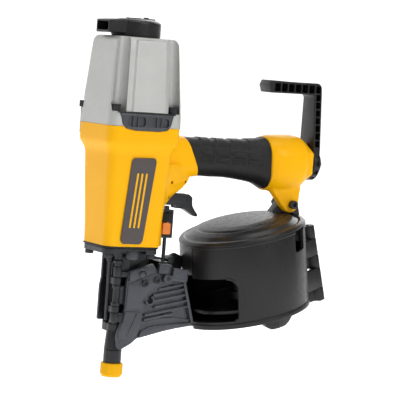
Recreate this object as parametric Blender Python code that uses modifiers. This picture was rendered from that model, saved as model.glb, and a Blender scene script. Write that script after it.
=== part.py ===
"""Pneumatic coil nail gun, built as separate sub-parts.

Tool frame, in millimetres: the drive axis is the vertical line X = 0, Y = 0, the tip of
the nose stands at Z = 0, +X runs along the handle to the air inlet and -Y is the side
with the magazine's window. Everything hangs on an empty that moves the tool frame so
that the bounding box is centred over the origin.
"""
import math

import bmesh
import bpy
from mathutils import Matrix, Vector

MM = 0.001
GAP = 0.3

# Position of the drive axis in the world, so that the box is centred in X.
DRIVE_AXIS_X = -98.0

# Main body
BODY_BOTTOM_Z = 136.6
BODY_TOP_Z = 258.3
BODY_BOTTOM_HALF = (31.0, 29.5)
BODY_WAIST_HALF = (36.6, 35.2)
COLLAR_HALF = (41.4, 39.5)
COLLAR_Z = 239.5
BODY_CORNER = 10.0
BODY_BORE_R = 25.5
BODY_FLOOR_Z = 139.6
SIDE_SLOPE = 0.0567

# Cylinder cap
CAP_BOTTOM_Z = 258.6
CAP_TOP_Z = 345.3
CAP_BASE_HALF = (40.9, 38.9)
CAP_TOP_HALF = (36.0, 34.2)
CAP_CAVITY_R = 31.0
CAP_CEILING_Z = 333.0
CAP_BOLT_X = 34.2
CAP_BOLT_Y = 32.2
CAP_SHOULDER_Z = 273.0

# Exhaust deflector
DEFLECTOR_R = 26.5
DEFLECTOR_Z = (348.0, 369.0)
NOZZLE_FRONT_X = -35.0

# Handle
HANDLE_Z = 229.0
BARREL_END_X = 209.0
INLET_BORE_R = 6.5
NECK_R = 12.0
HOOK_X = (217.8, 226.1)
HOOK_ARM_Z = (301.5, 312.5)
HOOK_HALF_WIDTH = 14.0
LUG_BOLT = (195.4, 183.4)

# Trigger
TRIGGER_PIVOT = (40.4, 188.6)
LEVER_PIVOT = (69.3, 184.9)
VALVE_X = 60.0

# Work contact
ROD_X = 50.5
WHEEL_Z = (160.6, 171.0)
TIP_R = 11.5
CHANNEL_R = 3.3

# Nose door
DOOR_HINGE = (-7.0, -12.0)
DOOR_OUTER_Y = -14.0
DOOR_INNER_Y = -9.6

# Drive
PISTON_R = 22.0
SLEEVE_INNER_R = 22.4
SLEEVE_OUTER_R = 25.2
PISTON_Z = (240.0, 256.0)
BLADE_TIP_Z = 97.0

# Feed
FEED_AXIS_Y = 26.0
FEED_AXIS_Z = 76.0

# Magazine, in its own frame: origin at the centre of the floor, Z up the coil's axis
MAG_CENTRE = (153.3, 0.0, 69.4)
MAG_TILT = math.radians(15.0)
DRUM_R = 68.6
DRUM_WALL = 3.0
COVER_TOP_Z = 84.0
ROOF_BOTTOM_Z = 84.3
COVER_HINGE = (81.0, -20.0)
KNUCKLE_R = 6.5

PALETTE = {
    "yellow_paint": ((0.95, 0.52, 0.01), 0.38, 0.0),
    "grey_cap": ((0.42, 0.43, 0.41), 0.45, 0.6),
    "black_plastic": ((0.02, 0.02, 0.022), 0.42, 0.0),
    "black_rubber": ((0.025, 0.025, 0.026), 0.75, 0.0),
    "dark_steel": ((0.07, 0.075, 0.085), 0.40, 0.85),
    "bright_steel": ((0.55, 0.55, 0.56), 0.28, 1.0),
    "aluminium": ((0.60, 0.61, 0.62), 0.35, 1.0),
    "badge_grey": ((0.09, 0.075, 0.072), 0.45, 0.0),
    "muffler_grey": ((0.05, 0.052, 0.056), 0.38, 0.5),
    "orange_plastic": ((0.85, 0.18, 0.02), 0.45, 0.0),
    "yellow_rubber": ((0.90, 0.55, 0.03), 0.60, 0.0),
    "amber_rubber": ((0.55, 0.25, 0.05), 0.65, 0.0),
}

MATERIALS = {}


def clear_scene():
    for obj in list(bpy.data.objects):
        bpy.data.objects.remove(obj, do_unlink=True)


def make_collection(name, hidden):
    collection = bpy.data.collections.new(name)
    bpy.context.scene.collection.children.link(collection)
    collection.hide_render = hidden
    return collection


def make_materials():
    for name, (color, rough, metal) in PALETTE.items():
        material = bpy.data.materials.new(name)
        material.use_nodes = True
        shader = material.node_tree.nodes["Principled BSDF"]
        shader.inputs["Base Color"].default_value = (*color, 1.0)
        shader.inputs["Roughness"].default_value = rough
        shader.inputs["Metallic"].default_value = metal
        material.diffuse_color = (*color, 1.0)
        MATERIALS[name] = material


def place(obj, material, parent=None):
    """Link an object as a part, or as a cutter when it has no material."""
    if material is None:
        CUTTERS.objects.link(obj)
        obj.display_type = "WIRE"
        obj.hide_render = True
    else:
        PARTS.objects.link(obj)
        obj.data.materials.clear()
        obj.data.materials.append(MATERIALS[material])
    obj.parent = FRAME if parent is None else parent
    return obj


def mesh_part(name, points, faces, material=None, parent=None):
    mesh = bpy.data.meshes.new(name)
    mesh.from_pydata([Vector(p) * MM for p in points], [], faces)
    return place(bpy.data.objects.new(name, mesh), material, parent)


def recalc(mesh):
    work = bmesh.new()
    work.from_mesh(mesh)
    bmesh.ops.remove_doubles(work, verts=work.verts, dist=1e-6)
    bmesh.ops.recalc_face_normals(work, faces=work.faces)
    work.to_mesh(mesh)
    work.free()


def round_off(obj, angle=35.0):
    """Smooth shading with sharp edges kept."""
    obj.data.shade_smooth()
    obj.data.set_sharp_from_angle(angle=math.radians(angle))
    return obj


def box(name, low, high, material=None, parent=None, bevel=0.0):
    x0, y0, z0 = low
    x1, y1, z1 = high
    points = [(x0, y0, z0), (x1, y0, z0), (x1, y1, z0), (x0, y1, z0),
              (x0, y0, z1), (x1, y0, z1), (x1, y1, z1), (x0, y1, z1)]
    faces = [(3, 2, 1, 0), (4, 5, 6, 7), (0, 1, 5, 4), (1, 2, 6, 5), (2, 3, 7, 6), (3, 0, 4, 7)]
    obj = mesh_part(name, points, faces, material, parent)
    if bevel:
        soften(obj, bevel)
    return obj


def soften(obj, width, segments=2, angle=40.0):
    mod = obj.modifiers.new("soften", "BEVEL")
    mod.width = width * MM
    mod.segments = segments
    mod.limit_method = "ANGLE"
    mod.angle_limit = math.radians(angle)
    return obj


AXIS_TURN = {
    "Z": Matrix.Identity(4),
    "X": Matrix.Rotation(math.radians(90.0), 4, "Y"),
    "Y": Matrix.Rotation(math.radians(-90.0), 4, "X"),
}


def rod(name, axis, start, radius, length, segments=16, material=None, parent=None):
    """A cylinder from start along +axis."""
    mesh = bpy.data.meshes.new(name)
    work = bmesh.new()
    bmesh.ops.create_cone(work, cap_ends=True, segments=segments, radius1=radius * MM,
                          radius2=radius * MM, depth=length * MM)
    bmesh.ops.translate(work, verts=work.verts, vec=(0.0, 0.0, length * MM / 2.0))
    bmesh.ops.transform(work, verts=work.verts, matrix=AXIS_TURN[axis])
    bmesh.ops.translate(work, verts=work.verts, vec=Vector(start) * MM)
    work.to_mesh(mesh)
    work.free()
    obj = place(bpy.data.objects.new(name, mesh), material, parent)
    return round_off(obj) if material else obj


def flat_mesh(name, outlines, half):
    """Mesh of a filled 2D curve, extruded half above and half below its plane."""
    curve = bpy.data.curves.new(name, "CURVE")
    curve.dimensions = "2D"
    curve.fill_mode = "BOTH"
    curve.extrude = half * MM
    for outline in outlines:
        spline = curve.splines.new("POLY")
        spline.points.add(len(outline) - 1)
        for point, (a, b) in zip(spline.points, outline):
            point.co = (a * MM, b * MM, 0.0, 1.0)
        spline.use_cyclic_u = True
    holder = bpy.data.objects.new(name, curve)
    CUTTERS.objects.link(holder)
    graph = bpy.context.evaluated_depsgraph_get()
    mesh = bpy.data.meshes.new_from_object(holder.evaluated_get(graph))
    bpy.data.objects.remove(holder, do_unlink=True)
    mesh.name = name
    recalc(mesh)
    return mesh


def plate(name, outlines, axis, low, high, material=None, parent=None):
    """A flat outline extruded along an axis; outline axes are XZ, YZ or XY."""
    mesh = flat_mesh(name, outlines, (high - low) / 2.0)
    middle = (high + low) / 2.0 * MM
    turn = {
        "Y": Matrix(((1, 0, 0, 0), (0, 0, -1, middle), (0, 1, 0, 0), (0, 0, 0, 1))),
        "X": Matrix(((0, 0, 1, middle), (1, 0, 0, 0), (0, 1, 0, 0), (0, 0, 0, 1))),
        "Z": Matrix(((1, 0, 0, 0), (0, 1, 0, 0), (0, 0, 1, middle), (0, 0, 0, 1))),
    }[axis]
    mesh.transform(turn)
    return place(bpy.data.objects.new(name, mesh), material, parent)


def turned(name, profile, steps, material=None, parent=None, centre=(0, 0, 0), axis="Z"):
    """A profile of (radius, height) swept about an axis; outer side runs top to bottom."""
    mesh = bpy.data.meshes.new(name)
    count = len(profile)
    closed = min(radius for radius, _ in profile) > 0.0
    area = sum(a[0] * b[1] - b[0] * a[1] for a, b in zip(profile, profile[1:] + profile[:1]))
    if area > 0.0:
        profile = profile[::-1]
    edges = [(i, i + 1) for i in range(count - 1)]
    if closed:
        edges.append((count - 1, 0))
    mesh.from_pydata([(r * MM, 0.0, z * MM) for r, z in profile], edges, [])
    obj = place(bpy.data.objects.new(name, mesh), material, parent)
    obj.location = Vector(centre) * MM
    obj.rotation_euler = AXIS_TURN[axis].to_euler()
    screw = obj.modifiers.new("turn", "SCREW")
    screw.axis = "Z"
    screw.steps = steps
    screw.render_steps = steps
    screw.use_merge_vertices = True
    screw.merge_threshold = 0.00001
    screw.use_smooth_shade = False
    return obj


def ring_loop(half_a, half_b, corner, per_corner=3):
    """Rounded rectangle as a counter-clockwise loop of (a, b)."""
    loop = []
    for quarter, (sa, sb) in enumerate(((1, 1), (-1, 1), (-1, -1), (1, -1))):
        for step in range(per_corner + 1):
            angle = math.radians(90.0 * quarter + 90.0 * step / per_corner)
            loop.append((sa * (half_a - corner) + corner * math.cos(angle),
                         sb * (half_b - corner) + corner * math.sin(angle)))
    return loop


def circle(radius, segments, centre=(0.0, 0.0), start=0.0):
    return [(centre[0] + radius * math.cos(start + 2 * math.pi * i / segments),
             centre[1] + radius * math.sin(start + 2 * math.pi * i / segments))
            for i in range(segments)]


def arc(radius, first, last, steps, centre=(0.0, 0.0)):
    return [(centre[0] + radius * math.cos(math.radians(first + (last - first) * i / steps)),
             centre[1] + radius * math.sin(math.radians(first + (last - first) * i / steps)))
            for i in range(steps + 1)]


def loft(name, loops, material=None, parent=None):
    """Skin through 3D loops with equal point counts, capped at both ends."""
    count = len(loops[0])
    points = [point for loop in loops for point in loop]
    faces = []
    for row in range(len(loops) - 1):
        base = row * count
        for i in range(count):
            j = (i + 1) % count
            faces.append((base + i, base + j, base + count + j, base + count + i))
    faces.append(tuple(range(count))[::-1])
    faces.append(tuple(range((len(loops) - 1) * count, len(loops) * count)))
    obj = mesh_part(name, points, faces, material, parent)
    recalc(obj.data)
    return obj


def sleeve_loft(name, outer, inner, material):
    """A tube skinned between outer loops and inner loops, open at both ends."""
    loops = outer + inner[::-1]
    count = len(loops[0])
    points = [point for loop in loops for point in loop]
    faces = []
    for row in range(len(loops)):
        base = row * count
        above = ((row + 1) % len(loops)) * count
        for i in range(count):
            j = (i + 1) % count
            faces.append((base + i, base + j, above + j, above + i))
    obj = mesh_part(name, points, faces, material)
    recalc(obj.data)
    return obj


def upright(sections, per_corner=3):
    """Loops stacked along Z from (z, half_x, half_y, corner)."""
    return [[(a, b, z) for a, b in ring_loop(hx, hy, corner, per_corner)]
            for z, hx, hy, corner in sections]


def along_handle(sections, grow=0.0, per_corner=3):
    """Loops stacked along X from (x, centre_z, half_y, half_z, corner, lean)."""
    loops = []
    for x, zc, hy, hz, corner, lean in sections:
        loop = ring_loop(hy + grow, hz + grow, corner + grow, per_corner)
        loops.append([(x + lean * b, a, zc + b) for a, b in loop])
    return loops


def boolean(target, tool, operation):
    mod = target.modifiers.new(tool.name, "BOOLEAN")
    mod.object = tool
    mod.operation = operation
    mod.solver = "EXACT"
    return target


def cut(target, *tools):
    for tool in tools:
        boolean(target, tool, "DIFFERENCE")
    return target


def fuse(target, *tools):
    for tool in tools:
        boolean(target, tool, "UNION")
    return target


def set_origin(obj, point):
    """Move the object's origin without moving its shape."""
    shift = Vector(point) * MM
    obj.data.transform(Matrix.Translation(-shift))
    obj.location = obj.location + shift
    return obj


def boxes(name, spans, parent=None):
    """One cutter made of separate boxes."""
    points = []
    faces = []
    for (x0, y0, z0), (x1, y1, z1) in spans:
        base = len(points)
        points += [(x0, y0, z0), (x1, y0, z0), (x1, y1, z0), (x0, y1, z0),
                   (x0, y0, z1), (x1, y0, z1), (x1, y1, z1), (x0, y1, z1)]
        quads = ((3, 2, 1, 0), (4, 5, 6, 7), (0, 1, 5, 4), (1, 2, 6, 5), (2, 3, 7, 6), (3, 0, 4, 7))
        faces += [tuple(base + i for i in quad) for quad in quads]
    return mesh_part(name, points, faces, None, parent)


def socket_bolt(name, head_r, head_h, shank_r, shank_l, material, location, axis="Z"):
    """Cap screw with its head's underside at the location, head along +axis."""
    profile = [(0.0, head_h - 2.6), (head_r * 0.52, head_h - 2.6), (head_r * 0.52, head_h),
               (head_r - 0.6, head_h), (head_r, head_h - 0.6), (head_r, 0.0),
               (shank_r, 0.0), (shank_r, -shank_l), (0.0, -shank_l)]
    return turned(name, profile, 10, material, None, location, axis)


def spring(name, centre, radius, wire, low, high, turns, per_turn, material):
    """A coil along Z with closed ends."""
    curve = bpy.data.curves.new(name, "CURVE")
    curve.dimensions = "3D"
    curve.bevel_depth = wire * MM
    curve.bevel_resolution = 1
    curve.use_fill_caps = True
    count = turns * per_turn
    spline = curve.splines.new("POLY")
    spline.points.add(count)
    for i in range(count + 1):
        angle = 2 * math.pi * i / per_turn
        height = low + wire + (high - low - 2 * wire) * i / count
        spline.points[i].co = ((centre[0] + radius * math.cos(angle)) * MM,
                               (centre[1] + radius * math.sin(angle)) * MM, height * MM, 1.0)
    obj = bpy.data.objects.new(name, curve)
    return place(obj, material)


# ---------------------------------------------------------------- main body

HANDLE_ROOT = [(20.0, 225.0, 20.0, 30.0, 9.0, 0.0), (40.0, 226.5, 20.5, 27.0, 9.0, 0.0),
               (57.0, 228.6, 18.5, 22.4, 9.0, -0.2), (76.0, 230.0, 17.0, 20.3, 9.0, -0.43)]
HANDLE_CORE = [(76.0, 230.0, 13.4, 16.7, 7.0, -0.43), (95.0, 229.6, 13.2, 16.8, 7.0, -0.2),
               (115.0, 229.5, 13.0, 16.9, 7.0, 0.0), (145.0, 228.3, 14.5, 19.5, 8.0, -0.1),
               (162.0, 226.8, 16.5, 22.6, 9.0, -0.2)]
HANDLE_BARREL = [(162.0, 226.8, 21.5, 26.8, 12.0, -0.2), (176.0, 227.6, 26.0, 28.6, 16.0, 0.0),
                 (190.0, 228.2, 26.6, 28.6, 17.0, 0.0), (205.0, 228.8, 25.2, 26.6, 16.0, 0.0),
                 (209.0, 229.0, 23.0, 24.4, 15.0, 0.0)]
GRIP_SKIN = 3.6


def make_main_housing():
    bx, by = BODY_BOTTOM_HALF
    wx, wy = BODY_WAIST_HALF
    cx, cy = COLLAR_HALF
    body = loft("main_housing", upright([
        (BODY_BOTTOM_Z, bx, by, 9.0), (COLLAR_Z - 4.0, wx, wy, BODY_CORNER),
        (COLLAR_Z, cx, cy, BODY_CORNER), (BODY_TOP_Z, cx, cy, BODY_CORNER)]), "yellow_paint")
    handle = loft("housing_handle", along_handle(HANDLE_ROOT + HANDLE_CORE + HANDLE_BARREL))
    trigger_ears = plate("housing_trigger_ears", [[
        (28, 145), (36.5, 150), (38, 166), (43, 177), (52, 187.5), (65.5, 197.5), (72, 206),
        (74, 214), (28, 220)]], "Y", -12.0, 12.0)
    lug = plate("housing_lug", [[
        (169, 208), (183, 190)] + arc(8.6, 205, 350, 7, LUG_BOLT) + [(206, 206)]], "Y", -15.0, 15.0)
    fuse(body, handle, trigger_ears, lug)
    cut(body,
        rod("housing_bore", "Z", (0, 0, BODY_FLOOR_Z), BODY_BORE_R, 130.0, 20),
        rod("housing_blade_hole", "Z", (0, 0, 120), 8.0, 30.0, 12),
        rod("housing_air_way", "X", (15, 0, HANDLE_Z), 9.0, 200.0, 12),
        rod("housing_inlet_seat", "X", (204.4, 0, HANDLE_Z), NECK_R + GAP, 20.0, 20),
        box("housing_trigger_slot", (33.6, -6.5, 130), (84, 6.5, 199)),
        rod("housing_valve_hole", "Z", (VALVE_X, 0, 190), 6.8, 26.0, 16),
        rod("housing_trigger_pin_hole", "Y", (TRIGGER_PIVOT[0], -20, TRIGGER_PIVOT[1]), 2.8, 40, 16),
        box("housing_lug_slot", (160, -7.0, 160), (225, 7.0, 199.2)),
        rod("housing_lug_hole", "Y", (LUG_BOLT[0], -20, LUG_BOLT[1]), 3.4, 40, 16))
    for sx in (-1, 1):
        for sy in (-1, 1):
            cut(body, rod("housing_cap_hole", "Z", (sx * CAP_BOLT_X, sy * CAP_BOLT_Y, 244),
                          3.2, 20, 8))
            cut(body, rod("housing_nose_hole", "Z", (sx * 24.0, sy * 22.0, 130), 2.7, 22, 8))
    for side in (-1, 1):
        cut(body, band_pocket("housing_band_pocket", side))
    return round_off(body, 30)


BAND_OUTLINE = [(-27, 281), (30, 281), (30, 266), (25, 258), (18, 255), (-15, 255), (-22, 258),
                (-27, 266)]


def band_pocket(name, side):
    low, high = (37.3, 45.0) if side > 0 else (-45.0, -37.3)
    pocket = [(-27.3, 281.3), (30.3, 281.3), (30.3, 265.8), (25.2, 257.8), (18.1, 254.7),
              (-15.1, 254.7), (-22.2, 257.8), (-27.3, 265.8)]
    return plate(name, [pocket], "Y", low, high)


def make_cylinder_cap():
    bx, by = CAP_BASE_HALF
    tx, ty = CAP_TOP_HALF
    cap = loft("cylinder_cap", upright([
        (CAP_BOTTOM_Z, bx, by, 9.5), (279.0, bx - 0.6, by - 0.6, 9.5), (337.0, tx, ty, 9.0),
        (342.5, tx - 1.2, ty - 1.2, 8.5), (CAP_TOP_Z, tx - 4.4, ty - 4.4, 7.0)]), "grey_cap")
    fuse(cap, rod("cap_boss", "Z", (0, 0, CAP_TOP_Z - 3), 15.0, 5.4, 32))
    cut(cap, rod("cap_cavity", "Z", (0, 0, 250), CAP_CAVITY_R, CAP_CEILING_Z - 250, 20),
        rod("cap_screw_hole", "Z", (0, 0, 320), 3.3, 40, 16))
    for sx in (-1, 1):
        for sy in (-1, 1):
            cut(cap, rod("cap_groove", "Z", (sx * 35.6, sy * 33.6, CAP_SHOULDER_Z), 8.0, 90, 16),
                rod("cap_bolt_hole", "Z", (sx * CAP_BOLT_X, sy * CAP_BOLT_Y, 250), 3.2, 40, 8))
    for side in (-1, 1):
        cut(cap, band_pocket("cap_band_pocket", side))
    return round_off(cap, 30)


def make_cap_bolts():
    number = 0
    for sx in (-1, 1):
        for sy in (-1, 1):
            number += 1
            socket_bolt(f"cap_bolt_{number}", 4.8, 6.6, 2.8, 26.0, "dark_steel",
                        (sx * CAP_BOLT_X, sy * CAP_BOLT_Y, CAP_SHOULDER_Z + GAP))


def make_muffler_bands():
    for side, label in ((-1, "left"), (1, "right")):
        low, high = (37.6, 41.2) if side > 0 else (-41.2, -37.6)
        band = plate(f"muffler_band_{label}", [BAND_OUTLINE], "Y", low, high, "muffler_grey")
        soften(band, 0.6, 1)
        spans = []
        for first in (-22.5, 4.0):
            for k in range(4):
                x0 = first + 5.6 * k
                spans.append(((x0, side * 39.2, 263.5), (x0 + 4.2, side * 45.0, 273.5)))
        spans = [(tuple(min(a, b) for a, b in zip(p, q)), tuple(max(a, b) for a, b in zip(p, q)))
                 for p, q in spans]
        cut(band, boxes(f"muffler_slots_{label}", spans))


def make_badges():
    outline = [(-9.5, 227), (14, 227.5), (16.2, 225), (8.8, 142), (6.5, 139.5), (-13.8, 139.5),
               (-16, 142), (-11.6, 225)]
    for side, label in ((-1, "left"), (1, "right")):
        badge = plate(f"badge_{label}", [outline], "Y", -0.6, 0.6, "badge_grey")
        middle = 183.0
        badge.data.transform(Matrix.Translation((0, 0, -middle * MM)))
        reach = BODY_BOTTOM_HALF[1] + SIDE_SLOPE * (middle - BODY_BOTTOM_Z) + GAP + 0.75
        badge.location = (0, side * reach * MM, middle * MM)
        badge.rotation_euler = (-side * math.atan(SIDE_SLOPE), 0, 0)
        soften(badge, 0.4, 1)


def make_grip_sleeve():
    inner = along_handle([(x + (GAP if i == 0 else 0) - (GAP if i == 4 else 0), z, hy, hz, c, lean)
                          for i, (x, z, hy, hz, c, lean) in enumerate(HANDLE_CORE)], GAP)
    outer = along_handle([(x + (GAP if i == 0 else 0) - (GAP if i == 4 else 0), z, hy, hz, c, lean)
                          for i, (x, z, hy, hz, c, lean) in enumerate(HANDLE_CORE)], GRIP_SKIN)
    return round_off(sleeve_loft("grip_sleeve", outer, inner, "black_rubber"), 30)


def make_end_plate():
    end = plate("end_plate", [circle(22.5, 6, (0, HANDLE_Z), math.radians(30))], "X",
                BARREL_END_X + GAP, 217.4, "yellow_paint")
    soften(end, 2.0, 1)
    cut(end, rod("end_plate_hole", "X", (200, 0, HANDLE_Z), NECK_R + GAP, 30, 24))
    return end


def make_air_inlet():
    profile = [(INLET_BORE_R, 234.0), (9.5, 234.0), (10.3, 233.2), (10.3, 231.5), (13.8, 231.2),
               (14.6, 230.4), (14.6, 226.5), (NECK_R, 226.5), (NECK_R, 205.0),
               (INLET_BORE_R, 205.0)]
    return round_off(turned("air_inlet", profile, 18, "bright_steel", None, (0, 0, HANDLE_Z), "X"))


def make_rafter_hook():
    x0, x1 = HOOK_X
    z0, z1 = HOOK_ARM_Z
    hook = plate("rafter_hook", [[
        (x0, 229), (x1, 229), (x1, 250), (222.6, 305), (220.8, 309.8), (216, z1), (163, z1),
        (158.6, 307.5), (163, z0), (209.5, z0), (213.4, 298.5), (x0, 252)]],
        "Y", -HOOK_HALF_WIDTH, HOOK_HALF_WIDTH, "black_plastic")
    soften(hook, 0.8, 1)
    ring = rod("hook_ring", "X", (x0, 0, HANDLE_Z), 19.5, x1 - x0, 24)
    fuse(hook, ring)
    spans = []
    for k in range(6):
        z = 256.0 + 7.4 * k
        x = 218.9 - 0.082 * (z - 252.0)
        spans += hook_cell((x, z), (x + 5.2, z + 5.4))
    for k in range(6):
        x = 167.5 + 7.4 * k
        spans += hook_cell((x, 303.4), (x + 5.4, 310.6))
    cut(hook, boxes("hook_cells", spans),
        rod("hook_bore", "X", (200, 0, HANDLE_Z), NECK_R + 0.4, 40, 24))
    return set_origin(hook, (222, 0, HANDLE_Z))


def hook_cell(low, high):
    return [((low[0], side * 2.2 if side > 0 else -20.0, low[1]),
             (high[0], 20.0 if side > 0 else side * 2.2, high[1])) for side in (-1, 1)]


def make_deflector():
    bottom, top = DEFLECTOR_Z
    puck = turned("exhaust_deflector", [
        (0.0, top), (20.0, top), (24.5, top - 1.4), (DEFLECTOR_R, top - 4.0),
        (DEFLECTOR_R, bottom), (0.0, bottom)], 24, "black_plastic")
    nozzle = box("deflector_nozzle", (NOZZLE_FRONT_X, -15.5, bottom), (-10, 15.5, top - 2.5))
    soften(nozzle, 1.6, 2)
    throat = box("deflector_throat", (-40, -12.5, bottom + 3), (-8.5, 12.5, top - 5.2))
    chamber = turned("deflector_chamber", [(21, top - 5.2), (21, bottom + 3), (7.5, bottom + 3),
                                           (7.5, top - 5.2)], 20)
    fuse(puck, nozzle)
    cut(puck, chamber, throat,
        rod("deflector_hole", "Z", (0, 0, 340), 3.4, 40, 16),
        rod("deflector_counterbore", "Z", (0, 0, top - 4.4), 6.4, 10, 20))
    return round_off(puck, 30)


def make_deflector_screw():
    top = DEFLECTOR_Z[1]
    profile = [(0.0, top - 1.6), (2.4, top - 1.6), (2.4, top - 0.2), (5.2, top - 0.2),
               (5.8, top - 0.8), (5.8, top - 4.1), (3.0, top - 4.1), (3.0, 326.0), (0.0, 326.0)]
    return round_off(turned("deflector_screw", profile, 16, "dark_steel"))


# ---------------------------------------------------------------- drive

def make_cylinder_sleeve():
    profile = [(SLEEVE_INNER_R, 262.0), (SLEEVE_OUTER_R + 4.0, 262.0), (SLEEVE_OUTER_R + 4.0, 258.7),
               (SLEEVE_OUTER_R, 258.7), (SLEEVE_OUTER_R, BODY_FLOOR_Z + GAP),
               (SLEEVE_INNER_R, BODY_FLOOR_Z + GAP)]
    return round_off(turned("cylinder_sleeve", profile, 20, "aluminium"))


def make_piston():
    low, high = PISTON_Z
    profile = [(0.0, high - 3), (12.0, high - 3), (14.0, high), (PISTON_R, high), (PISTON_R, high - 4),
               (PISTON_R - 2, high - 4), (PISTON_R - 2, high - 8), (PISTON_R, high - 8),
               (PISTON_R, low + 2), (PISTON_R - 2, low), (2.9, low), (2.9, low + 8), (0.0, low + 8)]
    return round_off(turned("piston", profile, 16, "aluminium"))


def make_piston_ring():
    high = PISTON_Z[1]
    profile = [(PISTON_R - 1.7, high - 4.3), (PISTON_R + 0.1, high - 4.3), (PISTON_R + 0.1, high - 7.7),
               (PISTON_R - 1.7, high - 7.7)]
    return round_off(turned("piston_ring", profile, 16, "black_rubber"))


def make_driver_blade():
    return rod("driver_blade", "Z", (0, 0, BLADE_TIP_Z), 2.6, PISTON_Z[0] + 7.7 - BLADE_TIP_Z, 12,
               "bright_steel")


def make_bumper():
    low = BODY_FLOOR_Z + GAP
    profile = [(4.0, low + 12.5), (17.0, low + 12.5), (SLEEVE_INNER_R - 0.4, low + 8),
               (SLEEVE_INNER_R - 0.4, low), (4.0, low)]
    return round_off(turned("bumper", profile, 16, "amber_rubber"))


def make_head_valve():
    profile = [(9.0, 279.0), (26.0, 279.0), (30.4, 276.0), (30.4, 262.4), (9.0, 262.4)]
    return round_off(turned("head_valve", profile, 20, "black_plastic"))


# ---------------------------------------------------------------- trigger group

def make_trigger():
    px, pz = TRIGGER_PIVOT
    blade = plate("trigger", [
        arc(6.0, 60, 290, 12, TRIGGER_PIVOT)[::1] + [
            (46.5, 182.6), (58, 182.6), (65, 180.2), (71.5, 176.2), (76.5, 171.2), (80.6, 165.6),
            (83.5, 166.2), (84.5, 168.6), (80.5, 179), (76, 186), (72.5, 190.2), (68, 191.4),
            (56, 191.6), (46.5, 193.6)]], "Y", -5.9, 5.9, "dark_steel")
    soften(blade, 1.0, 1, 50)
    cut(blade,
        rod("trigger_pivot_hole", "Y", (px, -10, pz), 2.8, 20, 16),
        rod("trigger_lever_hole", "Y", (LEVER_PIVOT[0], -10, LEVER_PIVOT[1]), 1.8, 20, 12),
        box("trigger_slot", (47.0, -3.6, 184.4), (74.4, 3.6, 200)),
        box("trigger_eye_slot", (65.9, -3.6, 181.6), (74.0, 3.6, 200)),
        box("trigger_link_slot", (47.0, -3.6, 170), (56.0, 3.6, 190)))
    return set_origin(blade, (px, 0, pz))


def make_trigger_lever():
    lx, lz = LEVER_PIVOT
    lever = plate("trigger_lever", [[(48.2, 186.0), (66.0, 186.0)] + arc(3.0, 240, 390, 5, LEVER_PIVOT)
                                    + [(68, 190.2), (50, 189.2), (48.2, 188.2)]],
                  "Y", -3.2, 3.2, "bright_steel")
    cut(lever, rod("lever_hole", "Y", (lx, -10, lz), 1.8, 20, 12))
    return set_origin(lever, (lx, 0, lz))


def make_trigger_pins():
    px, pz = TRIGGER_PIVOT
    pin = turned("trigger_pin", [(0.0, 12.6), (2.0, 12.6), (2.5, 12.1), (2.5, -13.4), (3.9, -13.4),
                                 (3.9, -14.4), (3.4, -14.9), (0.0, -14.9)], 16, "dark_steel", None,
                 (px, 0, pz), "Y")
    round_off(pin)
    cut(pin, box("trigger_pin_slot", (px - 6, -20, pz - 0.5), (px + 6, -14.0, pz + 0.5)))
    rod("lever_pin", "Y", (LEVER_PIVOT[0], -5.6, LEVER_PIVOT[1]), 1.5, 11.2, 12, "bright_steel")


def make_trigger_valve():
    body = turned("valve_body", [
        (2.3, 196.4), (2.3, 201.5), (4.6, 201.5), (4.6, 212.6), (1.6, 212.6), (1.6, 214.4),
        (6.4, 214.4), (6.4, 196.4)], 16, "aluminium", None, (VALVE_X, 0, 0))
    round_off(body)
    stem = turned("valve_stem", [
        (0.0, 204.0), (4.2, 204.0), (4.2, 202.2), (2.0, 202.2), (2.0, 192.2), (0.0, 192.2)],
        16, "bright_steel", None, (VALVE_X, 0, 0))
    round_off(stem)
    spring("valve_spring", (VALVE_X, 0), 3.2, 0.5, 204.3, 212.3, 3, 8, "bright_steel")


# ---------------------------------------------------------------- work contact

def make_trip_link():
    link = plate("trip_link", [[
        (44.5, 171.4), (59.6, 171.4), (59.6, 147.8), (44.5, 147.8), (44.5, 144.2), (62.4, 144.2),
        (62.4, 173.6), (52.0, 173.6), (52.0, 177.4), (48.6, 177.4), (48.6, 173.6), (44.5, 173.6)]],
        "Y", -3.2, 3.2, "dark_steel")
    cut(link, rod("link_rod_hole", "Z", (ROD_X, 0, 140), 2.4, 10, 12))
    return link


def make_trip_bushing():
    block = box("trip_bushing", (44.6, -7, 148.1), (59.2, 7, 160.2), "orange_plastic", None, 1.4)
    cut(block, rod("bushing_hole", "Z", (ROD_X, 0, 140), 2.4, 30, 12))
    return block


def make_depth_wheel():
    low, high = WHEEL_Z
    teeth = 24
    outline = []
    for i in range(teeth):
        angle = 2 * math.pi * i / teeth
        outline += [(8.0 * math.cos(angle), 8.0 * math.sin(angle)),
                    (7.3 * math.cos(angle + math.pi / teeth), 7.3 * math.sin(angle + math.pi / teeth))]
    wheel = plate("depth_wheel", [outline, circle(2.4, 12)], "Z", low, high, "black_plastic")
    wheel.location = (ROD_X * MM, 0, 0)
    return wheel


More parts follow.
